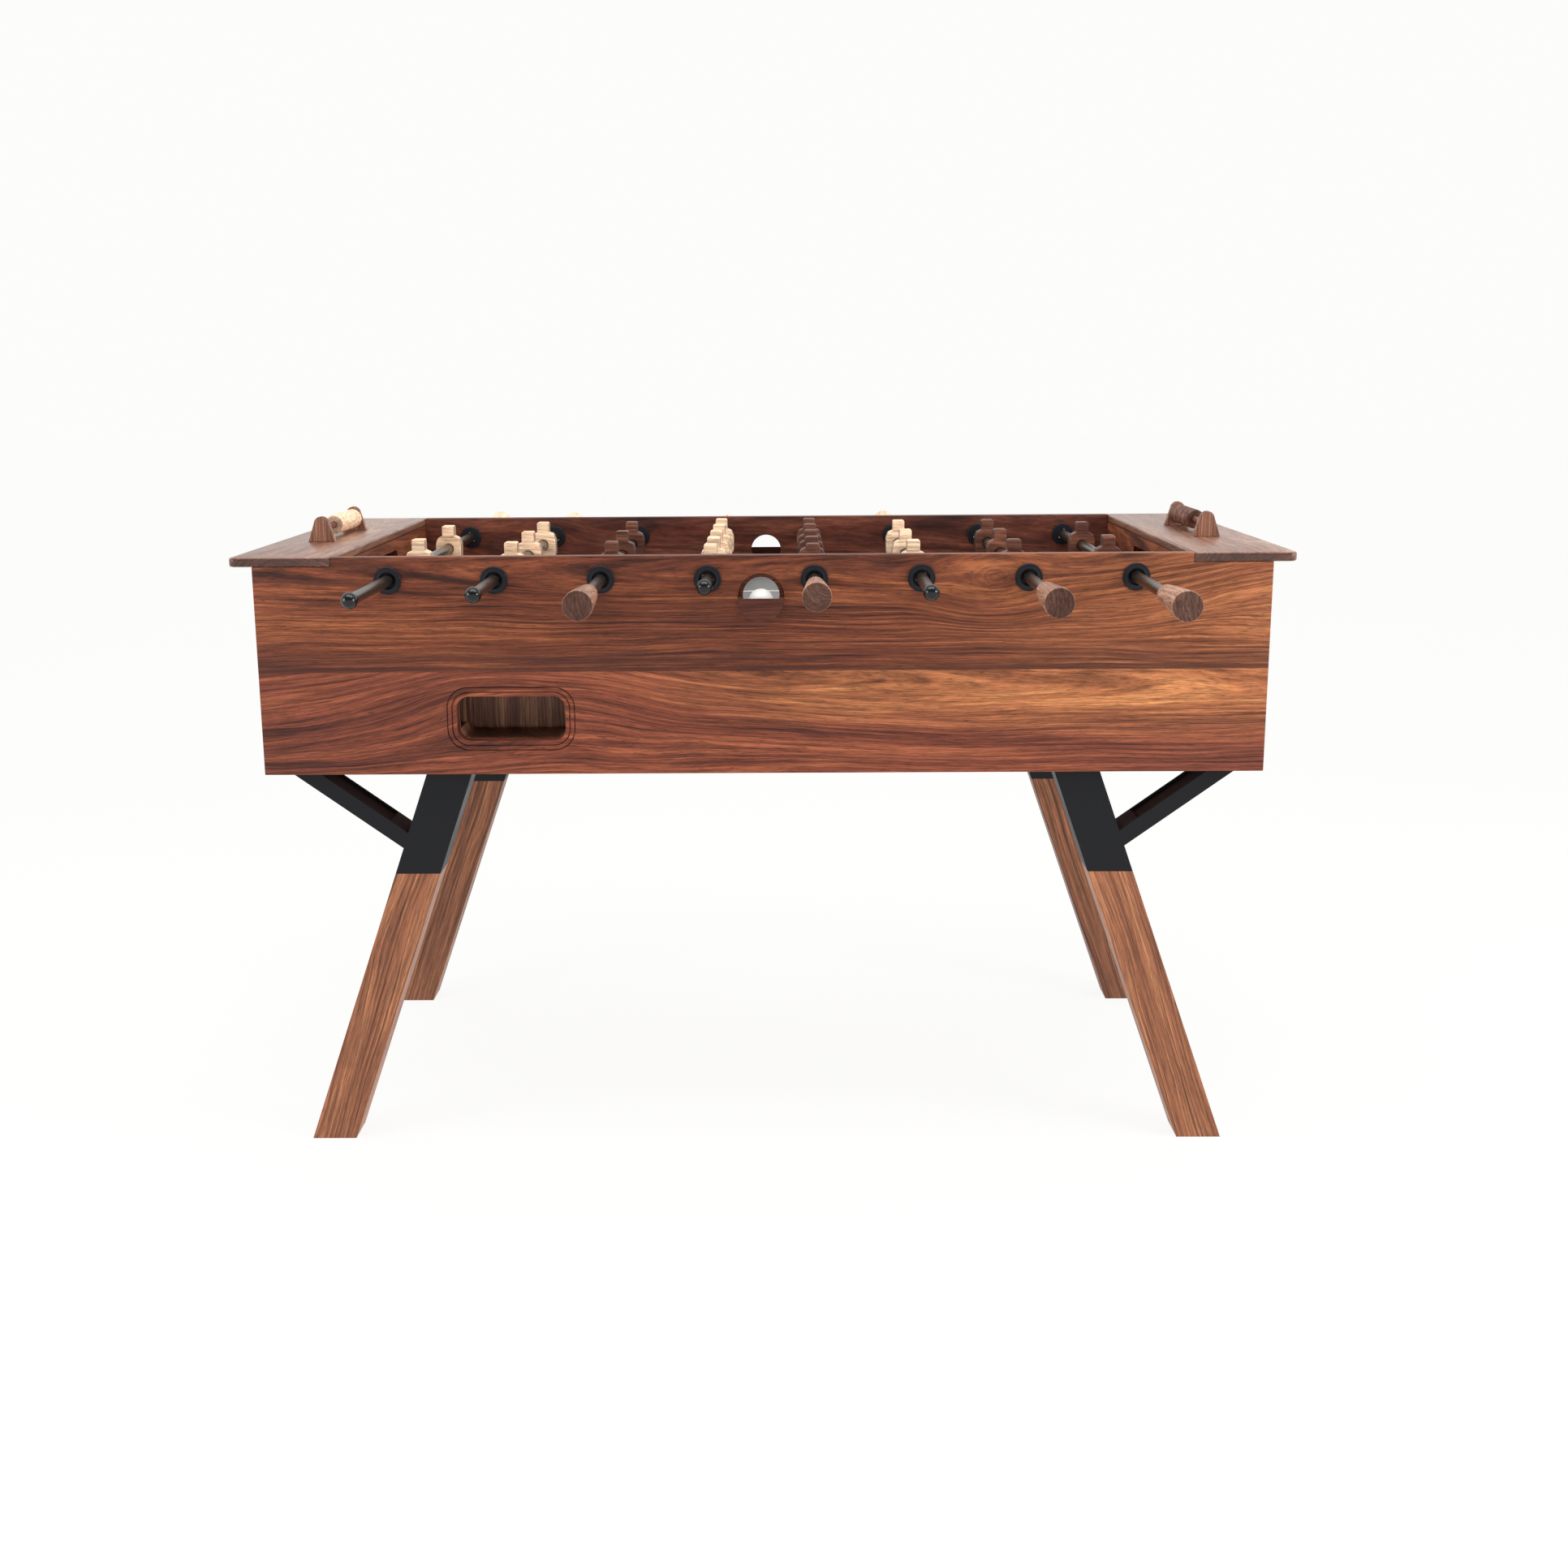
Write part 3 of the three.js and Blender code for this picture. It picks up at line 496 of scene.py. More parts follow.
# A knot's place is its X and Z on the panel.
FRONT_KNOT = (0.326, 0.846)
BACK_KNOT = (0.41, 0.83)
SHELF_FINISH = {"roughness": 0.3, "gloss": 0.45, "contrast": 1.4, "end_grain": 1.0}
MAPLE_FINISH = {"ring_strength": 0.14, "contrast": 1.2}
SMALL_PITH = {"player": (0, 0.02, 0.02), "bead": (0, 0.02, 0.01), "handle": (0, 0.11, 0.03)}
MATERIALS = {
    "front_panel": panel_wood("walnut_front_panel", 0.0, FRONT_KNOT, WALNUT, 0.4),
    # The back panel's upper board takes the darker tones, which paint the shade inside the table.
    "back_panel": panel_wood("walnut_back_panel", 7.7, BACK_KNOT, SHADE_PAINTED_BACK_WALNUT, 0.0, mirror=-1),
    "left_end": plain_wood("walnut_left_end", WALNUT, turn=ALONG_Y, offset=(3.1, 0.0, 0),
                           pith=(0, 0.66, 0.74)),
    "right_end": plain_wood("walnut_right_end", WALNUT, turn=ALONG_Y, offset=(5.3, 0.0, 0),
                            pith=(0, -0.66, 0.70)),
    # The shelves' pale tones carry part of the sheen on their tops as painted colour.
    "left_shelf": plain_wood("walnut_left_shelf", SHEEN_PAINTED_SHELF_WALNUT, turn=ALONG_Y, offset=(1.7, 0, 0),
                             pith=(0, 0.68, 0.80), **SHELF_FINISH),
    "right_shelf": plain_wood("walnut_right_shelf", SHEEN_PAINTED_SHELF_WALNUT, turn=ALONG_Y, offset=(6.1, 0, 0),
                              pith=(0, -0.64, 0.78), **SHELF_FINISH),
    "goal_wall": plain_wood("walnut_goal_wall", WALNUT, turn=ALONG_Y, offset=(8.9, 0, 0),
                            pith=(0, 0.5, 0.72)),
    "inside": plain_wood("walnut_inside", ROSY_WALNUT, offset=(2.3, 0, 0), pith=(0, -0.2, 0.6)),
    # The pocket's pale tones paint extra light into its recess.
    "pocket": plain_wood("walnut_pocket", LIGHT_PAINTED_POCKET_WALNUT, turn=ALONG_Z, offset=(1.1, 0, 0),
                         pith=(0, 0.1, -0.5)),
    # The cup's darker tones paint the shade on it.
    "cup": plain_wood("walnut_cup", SHADE_PAINTED_CUP_WALNUT, offset=(0.6, 0, 0), pith=(0, -0.31, 0.79),
                      ring_strength=0.3, gloss=0.2),
    "walnut_handle": plain_wood("walnut_handle", HANDLE_WALNUT, turn=ALONG_Y, pith=SMALL_PITH["handle"],
                                vary=True, ring=0.005, roughness=0.5, end_grain=1.0, gloss=0.2,
                                ring_strength=0.35, contrast=1.3),
    "maple_handle": plain_wood("maple_handle", MAPLE, turn=ALONG_Y, pith=SMALL_PITH["handle"],
                               vary=True, pore_strength=0.08, roughness=0.45, **MAPLE_FINISH),
    "player_walnut": plain_wood("walnut_player", PLAYER_WALNUT, pith=SMALL_PITH["player"],
                                vary=True, ring=0.006, ring_strength=0.45),
    "player_maple": plain_wood("maple_player", MAPLE, pith=SMALL_PITH["player"], vary=True,
                               ring=0.006, pore_strength=0.06, roughness=0.48, **MAPLE_FINISH),
    "bead_walnut": plain_wood("walnut_bead", PLAYER_WALNUT, turn=ALONG_Y, pith=SMALL_PITH["bead"],
                              vary=True, ring=0.005),
    "bead_maple": plain_wood("maple_bead", MAPLE, turn=ALONG_Y, pith=SMALL_PITH["bead"], vary=True,
                             ring=0.005, ring_strength=0.25, pore_strength=0.06, contrast=1.3),
    "score_bracket": plain_wood("walnut_score_bracket", SHEEN_PAINTED_SHELF_WALNUT, turn=ALONG_Z, pith=(0, 0.1, 0.7),
                                ring=0.006, offset=(0.3, 0.02, 0)),
    "powder_coat": powder_coat(),
    "rod": rod_metal(),
    "cap": black_plastic("black_gloss_cap", 0.1, (8, 9, 12)),
    "bearing": black_plastic("black_bearing_nylon", 0.4, (17, 18, 25)),
    "trough": black_plastic("black_trough", 0.5, (26, 26, 27)),
    "field": field_laminate(),
    "line": white_finish("white_line_paint", 0.45),
    "ball": white_finish("white_ball", 0.35),
}


def leg_woods():
    """A wood for each leg, with its grain along the leg's rake."""
    ends = (("front", FRONT, 1.3, LEG_WALNUT, 0.006), ("back", BACK, 4.9, DARK_LEG_WALNUT, 0.013))
    for side_name, side in (("left", -1), ("right", 1)):
        for end_name, face, seed, tones, ring in ends:
            key = f"{end_name}_{side_name}_leg"
            MATERIALS[key] = plain_wood(
                f"walnut_{key}", tones, turn=(0, QUARTER + side * LEG_RAKE, 0), offset=(seed + side, 0, 0),
                ring=ring, pith=(0, 0.31 * face, 0.5 * side), ring_strength=0.75, roughness=0.42,
                gloss=0.35, contrast=1.5)


leg_woods()


# ---- Mesh helpers ----------------------------------------------------------------------------------


def link(name, data):
    made = bpy.data.objects.new(name, data)
    scene.collection.objects.link(made)
    return made


def baked(obj, name):
    """The object's mesh after its curve settings and modifiers, with the object itself removed."""
    bpy.context.view_layer.update()
    graph = bpy.context.evaluated_depsgraph_get()
    mesh = bpy.data.meshes.new_from_object(obj.evaluated_get(graph), depsgraph=graph)
    mesh.name = name
    data = obj.data
    bpy.data.objects.remove(obj)
    if data.users == 0:
        (bpy.data.curves if isinstance(data, bpy.types.Curve) else bpy.data.meshes).remove(data)
    return mesh


WELD = 0.02 * MM


def tidy(mesh):
    """Joins doubled points, drops faces without area and turns every face outward."""
    work = bmesh.new()
    work.from_mesh(mesh)
    bmesh.ops.remove_doubles(work, verts=work.verts, dist=WELD)
    bmesh.ops.dissolve_degenerate(work, edges=work.edges, dist=WELD / 2)
    bmesh.ops.recalc_face_normals(work, faces=work.faces)
    work.to_mesh(mesh)
    work.free()
    return mesh


def arc(x, y, radius, start, end, steps):
    angles = (start + (end - start) * i / steps for i in range(steps + 1))
    return [(x + radius * math.cos(a), y + radius * math.sin(a)) for a in angles]


def circle(x, y, radius, steps):
    return arc(x, y, radius, 0, 2 * math.pi, steps)[:-1]


def rounded_rect(x, y, half_x, half_y, radius):
    points = []
    for i, (sx, sy) in enumerate(((1, 1), (-1, 1), (-1, -1), (1, -1))):
        start = i * QUARTER
        centre = (x + sx * (half_x - radius), y + sy * (half_y - radius))
        points += arc(*centre, radius, start, start + QUARTER, 10)
    return points


def filleted(points, closed=True, steps=5):
    """Rounds the corners of a path of (x, y, radius) points."""
    out = []
    count = len(points)
    for i, (x, y, radius) in enumerate(points):
        if radius == 0 or (not closed and i in (0, count - 1)):
            out.append((x, y))
            continue
        here = Vector((x, y))
        before = Vector(points[i - 1][:2]) - here
        after = Vector(points[(i + 1) % count][:2]) - here
        angle = before.angle(after)
        reach = min(radius / math.tan(angle / 2), before.length * 0.49, after.length * 0.49)
        start, end = here + before.normalized() * reach, here + after.normalized() * reach
        for k in range(steps + 1):
            t = k / steps
            spot = start * (1 - t) ** 2 + here * 2 * t * (1 - t) + end * t ** 2
            out.append((spot.x, spot.y))
    return out


def plate(name, outlines, thickness, bevel, bevel_steps=2):
    """A flat plate drawn in X and Z, centred on Y=0, with rounded edges. Later outlines are holes."""
    curve = bpy.data.curves.new(name, "CURVE")
    curve.dimensions = "2D"
    curve.fill_mode = "BOTH"
    curve.extrude = thickness / 2 - bevel
    curve.bevel_depth = bevel
    curve.bevel_resolution = bevel_steps
    curve.offset = -bevel
    for points in outlines:
        spline = curve.splines.new("POLY")
        spline.points.add(len(points) - 1)
        for spot, (x, y) in zip(spline.points, points):
            spot.co = (x, y, 0, 1)
        spline.use_cyclic_u = True
    mesh = tidy(baked(link(name, curve), name))
    mesh.transform(Matrix.Rotation(QUARTER, 4, "X"))
    return mesh


ON_AXIS = 1e-7


def turned(name, profile, sides):
    """A solid turned about the Y axis from (radius, y) points. A closed profile ends where it starts."""
    work = bmesh.new()
    closed = profile[0] == profile[-1]
    points = profile[:-1] if closed else profile
    rings = []
    for radius, y in points:
        if radius < ON_AXIS:
            rings.append([work.verts.new((0, y, 0))])
            continue
        spots = ((radius * math.cos(a), y, radius * math.sin(a))
                 for a in (2 * math.pi * i / sides for i in range(sides)))
        rings.append([work.verts.new(spot) for spot in spots])
    pairs = list(zip(rings, rings[1:])) + ([(rings[-1], rings[0])] if closed else [])
    for lower, upper in pairs:
        for i in range(sides):
            j = (i + 1) % sides
            corners = [ring[k % len(ring)] for ring, k in ((lower, i), (lower, j), (upper, j), (upper, i))]
            unique = list(dict.fromkeys(corners))
            if len(unique) > 2:
                work.faces.new(unique)
    bmesh.ops.recalc_face_normals(work, faces=work.faces)
    mesh = bpy.data.meshes.new(name)
    work.to_mesh(mesh)
    work.free()
    return mesh


def shade(mesh, degrees):
    """Smooth shading, with edges sharper than the given angle left sharp."""
    mesh.shade_smooth()
    mesh.set_sharp_from_angle(angle=math.radians(degrees))


def carved(name, base, *cutters):
    """The base mesh with each cutter mesh taken away."""
    body = link(name, base)
    tools = []
    for i, cutter in enumerate(cutters):
        tool = link(f"{name}_cutter_{i}", cutter)
        tools.append(tool)
        cut = body.modifiers.new(f"cut_{i}", "BOOLEAN")
        cut.object = tool
        cut.solver = "EXACT"
    mesh = baked(body, name)
    for tool in tools:
        bpy.data.objects.remove(tool)
    return mesh


def piece(name, mesh, material, body, slot, *replaces, location=(0, 0, 0), turn=0.0, angle=35):
    """One visible piece that rides on a body, optionally turned about Z, and may stand for CAD nodes."""
    if not mesh.materials:
        mesh.materials.append(MATERIALS[material])
        shade(mesh, angle)
    obj = link(name, mesh)
    obj.rotation_euler = (0, 0, turn)
    obj.location = location
    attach(obj, body)
    if replaces:
        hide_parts(*replaces)
    return obj


def finish_node(node, material, bevel, segments=3):
    """Keeps a CAD node and gives it rounded edges and a material."""
    obj = frame["nodes"][node]
    obj.data.materials.clear()
    obj.data.materials.append(MATERIALS[material])
    edge = obj.modifiers.new("rounded_edges", "BEVEL")
    edge.width = bevel
    edge.segments = segments
    edge.limit_method = "ANGLE"
    edge.angle_limit = math.radians(40)
    edge.harden_normals = True
    for polygon in obj.data.polygons:
        polygon.use_smooth = True


# ---- Cabinet ---------------------------------------------------------------------------------------


PANEL_CORNER = 1.5 * MM
PANEL_EDGE = 1.3 * MM
SEAT_WALL = 6 * MM
# Cutters stand out this far past the face that they cut.
OVERCUT = 10 * MM
GROOVE_GAPS = (6.5 * MM, 13.5 * MM)
GROOVE_WIDTH = 1.7 * MM
GROOVE_DEPTH = 3 * MM


def cup_seat(side):
    """A cutter for the half-round seat that the ball cup stands in."""
    floor_y = INNER_Y + SEAT_WALL
    mouth_y = OUTER_Y + OVERCUT
    outline = circle(0, BALL_HOLE_Z, CUP_RADIUS + CLEARANCE, 64)
    cutter = plate("seat", [outline], mouth_y - floor_y, 0.1 * MM)
    cutter.transform(Matrix.Translation((0, side * (floor_y + mouth_y) / 2, 0)))
    return cutter


def groove_cutter(gap):
    """A thin ring round the return opening, which cuts a fine groove in the front face."""
    reaches = (gap + GROOVE_WIDTH / 2, gap - GROOVE_WIDTH / 2)
    rings = [rounded_rect(POCKET_X, POCKET_Z, *(size + reach for size in POCKET_OPENING[2:]))
             for reach in reaches]
    cutter = plate("groove", rings, GROOVE_DEPTH * 2, 0.2 * MM)
    cutter.transform(Matrix.Translation((0, -OUTER_Y, 0)))
    return cutter


def long_panel(side):
    """A long panel with its shelf notches, bearing holes, ball hole and cup seat."""
    name = "front_panel" if side == FRONT else "back_panel"
    low, high = CABINET_BOTTOM, RAIL_TOP
    outer = filleted([
        (-CABINET_X, low, PANEL_CORNER), (CABINET_X, low, PANEL_CORNER), (CABINET_X, NOTCH_Z, 0),
        (NOTCH_X, NOTCH_Z, 0), (NOTCH_X, high, 0), (-NOTCH_X, high, 0), (-NOTCH_X, NOTCH_Z, 0),
        (-CABINET_X, NOTCH_Z, 0)])
    holes = []
    for number in range(1, ROD_COUNT + 1):
        centre = rod_centre(number)
        holes.append(circle(centre.x, centre.z, BEARING_HOLE, 32))
    holes.append(circle(0, BALL_HOLE_Z, BALL_HOLE_RADIUS, 64))
    cutters = [cup_seat(side)]
    if side == FRONT:
        holes.append(rounded_rect(*POCKET_OPENING))
        cutters += [groove_cutter(gap) for gap in GROOVE_GAPS]
    mesh = plate(name, [outer, *holes], PANEL_THICKNESS, PANEL_EDGE)
    mesh.transform(Matrix.Translation((0, side * PANEL_MID_Y, 0)))
    mesh = carved(name, mesh, *cutters)
    return piece(f"{name}_boards", mesh, name, "table", "walnut", name, angle=30)


SHELF_CORNER = 14 * MM
SHELF_EDGE = 3.2 * MM


def end_shelf(side):
    """An end shelf with two rounded corners, drawn flat and laid level on the end of the cabinet."""
    end_name = "left" if side < 0 else "right"
    name = f"{end_name}_end_shelf"
    inner_x, outer_x = SHELF_LOW.x, SHELF_HIGH.x
    points = [(inner_x, -OUTER_Y, 0), (outer_x, -OUTER_Y, SHELF_CORNER), (outer_x, OUTER_Y, SHELF_CORNER),
              (inner_x, OUTER_Y, 0)]
    outline = [(side * x, -y) for x, y in filleted(points, steps=8)]
    mesh = plate(name, [outline], SHELF_HIGH.z - SHELF_LOW.z, SHELF_EDGE, 3)
    mesh.transform(Matrix.Rotation(-QUARTER, 4, "X"))
    mesh.transform(Matrix.Diagonal((1, -1, 1, 1)))
    mesh.flip_normals()
    mesh.transform(Matrix.Translation((0, 0, (SHELF_LOW.z + SHELF_HIGH.z) / 2)))
    return piece(f"{name}_board", mesh, f"{end_name}_shelf", "table", "walnut", name)


LINE_WIDTH = 8 * MM
LINE_HEIGHT = 0.25 * MM
CENTRE_CIRCLE = 110 * MM
# An area's reach from the goal along the field, and to each side of its middle.
PENALTY_AREA = (260 * MM, 210 * MM)
GOAL_AREA = (130 * MM, 135 * MM)
PENALTY_ARC = 90 * MM
PENALTY_ARC_HALF_ANGLE = 1.35


def flat_strip(work, points, width, closed=False):
    """Adds a thin raised strip of the given width along a path on the field."""
    spots = [Vector(point) for point in points]
    count = len(spots)
    rails = []
    for i, spot in enumerate(spots):
        before = spots[i - 1] if closed or i > 0 else spot
        after = spots[(i + 1) % count] if closed or i < count - 1 else spot
        coming = (spot - before).normalized() if before != spot else (after - spot).normalized()
        run = (after - before).normalized()
        aside = Vector((-run.y, run.x)) * (width / 2 / run.dot(coming))
        rails.append([(*(spot + aside * across), z) for across in (-1, 1) for z in (0, LINE_HEIGHT)])
    rings = [[work.verts.new(ring[k]) for k in (0, 1, 3, 2)] for ring in rails]
    for i in range(count if closed else count - 1):
        here, there = rings[i], rings[(i + 1) % count]
        for k in range(4):
            work.faces.new((here[k], there[k], there[(k + 1) % 4], here[(k + 1) % 4]))
    if not closed:
        work.faces.new(rings[0])
        work.faces.new(list(reversed(rings[-1])))


def field_lines():
    """Painted lines: the centre circle, and the areas and the arc before each goal."""
    work = bmesh.new()
    flat_strip(work, circle(0, 0, CENTRE_CIRCLE, 96), LINE_WIDTH, closed=True)
    for side in (-1, 1):
        goal_x = side * NOTCH_X
        for reach_x, reach_y in (PENALTY_AREA, GOAL_AREA):
            edge = side * (NOTCH_X - reach_x)
            box_line = [(goal_x, -reach_y), (edge, -reach_y), (edge, reach_y), (goal_x, reach_y)]
            flat_strip(work, box_line, LINE_WIDTH)
        middle = math.pi if side > 0 else 0
        arc_x = side * (NOTCH_X - PENALTY_AREA[0])
        start, end = middle - PENALTY_ARC_HALF_ANGLE, middle + PENALTY_ARC_HALF_ANGLE
        flat_strip(work, arc(arc_x, 0, PENALTY_ARC, start, end, 24), LINE_WIDTH)
    bmesh.ops.recalc_face_normals(work, faces=work.faces)
    mesh = bpy.data.meshes.new("field_lines")
    work.to_mesh(mesh)
    work.free()
    mesh.transform(Matrix.Translation((0, 0, FIELD_TOP)))
    return piece("field_lines", mesh, "line", "table", "white_plastic")


# The way in for balls continues the troughs' channel; its middle is measured from their front.
WAY_HALF_HEIGHT = 19.5 * MM
WAY_WIDTH = 49 * MM
WAY_MIDDLE = 30 * MM
POCKET_OUTER_CORNER = 4 * MM
POCKET_HOLLOW_ROUNDING = 6 * MM


def return_pocket():
    """The pocket's box, carved with the opening's rounded outline and a way in for balls at each end."""
    depth = POCKET_HIGH.y - POCKET_LOW.y
    middle = (POCKET_LOW.y + POCKET_HIGH.y) / 2
    half_x = POCKET_HALF_X + POCKET_WALL
    half_z = POCKET_HALF_Z + POCKET_WALL
    outline = rounded_rect(POCKET_X, POCKET_Z, half_x, half_z, POCKET_OUTER_CORNER)
    body = plate("return_pocket", [outline], depth, 0.8 * MM)
    body.transform(Matrix.Translation((0, middle, 0)))
    hollow_depth = depth - POCKET_WALL + 2 * OVERCUT
    hollow = plate("hollow", [rounded_rect(*POCKET_OPENING)], hollow_depth, POCKET_HOLLOW_ROUNDING, 4)
    hollow.transform(Matrix.Translation((0, POCKET_HIGH.y - POCKET_WALL - hollow_depth / 2, 0)))
    way_outline = rounded_rect(POCKET_X, POCKET_Z + 1 * MM, half_x + OVERCUT, WAY_HALF_HEIGHT, 2 * MM)
    way = plate("way", [way_outline], WAY_WIDTH, 0.5 * MM)
    trough_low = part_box("left_return_trough")[0]
    way.transform(Matrix.Translation((0, trough_low.y + WAY_MIDDLE, 0)))
    mesh = carved("return_pocket", body, hollow, way)
    return piece("return_pocket_box", mesh, "pocket", "table", "walnut", "return_pocket", angle=30)


CUP_RIM = 6 * MM
CUP_HOLLOW_TOP = 12 * MM
CUP_EDGE = 0.9 * MM
CUP_HOLLOW_ROUNDING = 2.5 * MM
# The hollow is a little less deep than a half circle, which leaves a thicker floor.
CUP_HOLLOW_SQUASH = 0.985


def ball_cup(side):
    """A half-round cup with a half-round hollow, closed at its outer end."""
    name = "front_ball_cup" if side == FRONT else "back_ball_cup"
    low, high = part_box("back_ball_cup")
    depth = high.y - low.y
    body = plate(name, [arc(0, 0, CUP_RADIUS, math.pi, 2 * math.pi, 40)], depth, CUP_EDGE)
    inner = CUP_RADIUS - CUP_RIM
    bowl = arc(0, 0, inner, math.pi, 2 * math.pi, 40)
    hollow_points = [(x, z * CUP_HOLLOW_SQUASH) for x, z in bowl]
    hollow_points += [(inner, CUP_HOLLOW_TOP), (-inner, CUP_HOLLOW_TOP)]
    hollow = plate("hollow", [hollow_points], depth + 2 * OVERCUT, CUP_HOLLOW_ROUNDING, 4)
    hollow.transform(Matrix.Translation((0, -OVERCUT - CUP_RIM, 0)))
    mesh = carved(name, body, hollow)
    mesh.transform(Matrix.Translation((0, (low.y + high.y) / 2, 0)))
    return piece(f"{name}_wood", mesh, "cup", "table", "walnut", name, location=(0, 0, BALL_HOLE_Z),
                 turn=half_turn(side), angle=30)


# ---- Rods ------------------------------------------------------------------------------------------

PLAYER_THICKNESS = 22 * MM
PLAYER_EDGE = 1.8 * MM
PLAYER_BORE = ROD_RADIUS + 0.15 * MM
CAP_LENGTH = 23 * MM
HANDLE_BORE = 108 * MM
# The tube starts this far in from the cap's tip and ends this far inside the handle.
TUBE_FROM_TIP = 14 * MM
TUBE_IN_HANDLE = 107 * MM


def in_mm(path):
    """A path of (x, y, radius) points that was written in millimetres, in metres."""
    return [(x * MM, y * MM, radius * MM) for x, y, radius in path]


def player_outline():
    """A flat player: square-shouldered head, round shoulders, waist and foot, from the rod's centre."""
    right = [
        (9.9, 38, 3.6), (9.9, 21.2, 2.4), (17.5, 17.8, 6), (21, 8, 9), (20.6, -16, 15), (10.6, -33, 22),
        (10.2, -45, 14), (12, -62, 2.5)]
    left = [(-x, z, radius) for x, z, radius in reversed(right)]
    return filleted(in_mm(right + left), steps=6)


def handle_profile():
    """A handle that widens outwards to a flat end, bored for the rod, its near end at Y=0."""
    path = [(8.3, 108, 0), (8.3, 0.4, 0.3), (10.4, 0, 1.5), (12.9, 3.2, 4), (14.3, 24, 30),
            (19.3, 116, 30), (19.3, 129.6, 1.8), (0, 130, 0)]
    return [(0, HANDLE_BORE), *filleted(in_mm(path), closed=False, steps=6)]


def bearing_profile():
    """Closed profile: outer flange with a recess round the rod, tube through the panel, inner flange."""
    path = [(8.6, -14.3, 0), (17.2, -14.3, 1), (18.2, -13.2, 0.6), (18.2, -11.3, 0), (13, -11.3, 0),
            (13, 11.3, 0), (19.4, 11.3, 0), (19.4, 12.8, 0.8), (18.3, 14.2, 0.6), (17.3, 13.5, 0.4),
            (12.4, 14.1, 0.5), (11.5, 13.4, 0.6), (11.3, 5, 0), (8.6, 5, 0)]
    points = filleted(in_mm(path), steps=3)
    return [*points, points[0]]


def cap_profile():
    """A ball on a short collar, its tip at Y=0."""
    collar = filleted([(8.1, 23, 0), (9.8, 23, 1), (9.8, 17, 0.3), (9.2, 16.4, 0)], closed=False, steps=3)
    sphere = arc(0, CAP_RADIUS, CAP_RADIUS, math.radians(28), -QUARTER, 12)
    return [(0, CAP_LENGTH), *[(r * MM, y * MM) for r, y in collar], *sphere]


def rod_meshes():
    """The meshes that the rods share, by name."""
    made = {"bearing": turned("bearing", bearing_profile(), 48), "cap": turned("cap", cap_profile(), 40)}
    outlines = [player_outline(), circle(0, 0, PLAYER_BORE, 32)]
    for kind in ("walnut", "maple"):
        made[f"{kind}_player"] = plate(f"{kind}_player", outlines, PLAYER_THICKNESS, PLAYER_EDGE, 3)
        made[f"{kind}_handle"] = turned(f"{kind}_handle", handle_profile(), 48)
    return made


def rod(number, meshes, kind):
    """One rod's tube with its cap and its handle."""
    body = f"rod_{number}"
    side = HANDLE_SIDE[number]
    centre = rod_centre(number)
    turn = half_turn(side)
    low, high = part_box(body)
    handle_low, handle_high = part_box(f"handle_{number}")
    handle_start = handle_low.y if side == BACK else -handle_high.y
    cap_end = -low.y if side == BACK else high.y
    first, last = TUBE_FROM_TIP - cap_end, handle_start + TUBE_IN_HANDLE
    tube = turned(f"{body}_tube", [(0, first), (ROD_RADIUS, first), (ROD_RADIUS, last), (0, last)], 40)
    piece(f"{body}_tube", tube, "rod", body, "rod_steel", body, location=centre, turn=turn)
    piece(f"{body}_cap", meshes["cap"], "cap", body, "black_gloss", body,
          location=centre + Vector((0, -side * cap_end, 0)), turn=turn)
    piece(f"handle_{number}_grip", meshes[f"{kind}_handle"], f"{kind}_handle", body, kind,
          f"handle_{number}", location=centre + Vector((0, side * handle_start, 0)), turn=turn)


def players(number, mesh, kind):
    """One rod's players, evenly spaced about its middle."""
    body = f"rod_{number}"
    count = PLAYERS[number]
    for i in range(count):
        y = (i - (count - 1) / 2) * SPACING[count]
        piece(f"{body}_player_{i + 1}", mesh, f"player_{kind}", body, kind, body,
              location=rod_centre(number) + Vector((0, y, 0)))


def bearings(number, mesh):
    """The bearing in each long panel. The near one turns with the rod, and the far one stays put."""
    for face, where, owner in ((FRONT, "front", f"bearing_{number}"), (BACK, "back", "table")):
        node = f"{where}_bearing_{number}"
        piece(f"{node}_ring", mesh, "bearing", owner, "black_plastic", node,
              location=rod_centre(number) + Vector((0, face * PANEL_MID_Y, 0)), turn=half_turn(face))


def rods():
    meshes = rod_meshes()
    for number in range(1, ROD_COUNT + 1):
        kind = "maple" if number in MAPLE_RODS else "walnut"
        rod(number, meshes, kind)
        players(number, meshes[f"{kind}_player"], kind)
        bearings(number, meshes["bearing"])


def ball():
    mesh = bpy.data.meshes.new("ball")
    work = bmesh.new()
    bmesh.ops.create_icosphere(work, subdivisions=5, radius=(BALL_HIGH.x - BALL_LOW.x) / 2)
    work.to_mesh(mesh)
    work.free()
    return piece("ball_cork", mesh, "ball", "ball", "white_plastic", "ball",
                 location=(BALL_LOW + BALL_HIGH) / 2)


# ---- Scorers ---------------------------------------------------------------------------------------

BEAD_COUNT = 10
BEAD_BORE = 5.4 * MM
BEAD_ROUNDING = 5 * MM
BEAD_GAP = 0.6 * MM
DOWEL_RADIUS = 5 * MM
SCORE_BRACKET_THICKNESS = 12 * MM
SCORE_BRACKET_CROWN = 11 * MM
# The crown's round stops this angle above level, where the bracket's straight flanks begin.
CROWN_END = 0.18
BRACKET_LIFT = 0.1 * MM
BRACKET_EDGE = 1 * MM
# The dowel stops this part of a bracket's thickness short of its outer face.
DOWEL_SHORT = 0.4


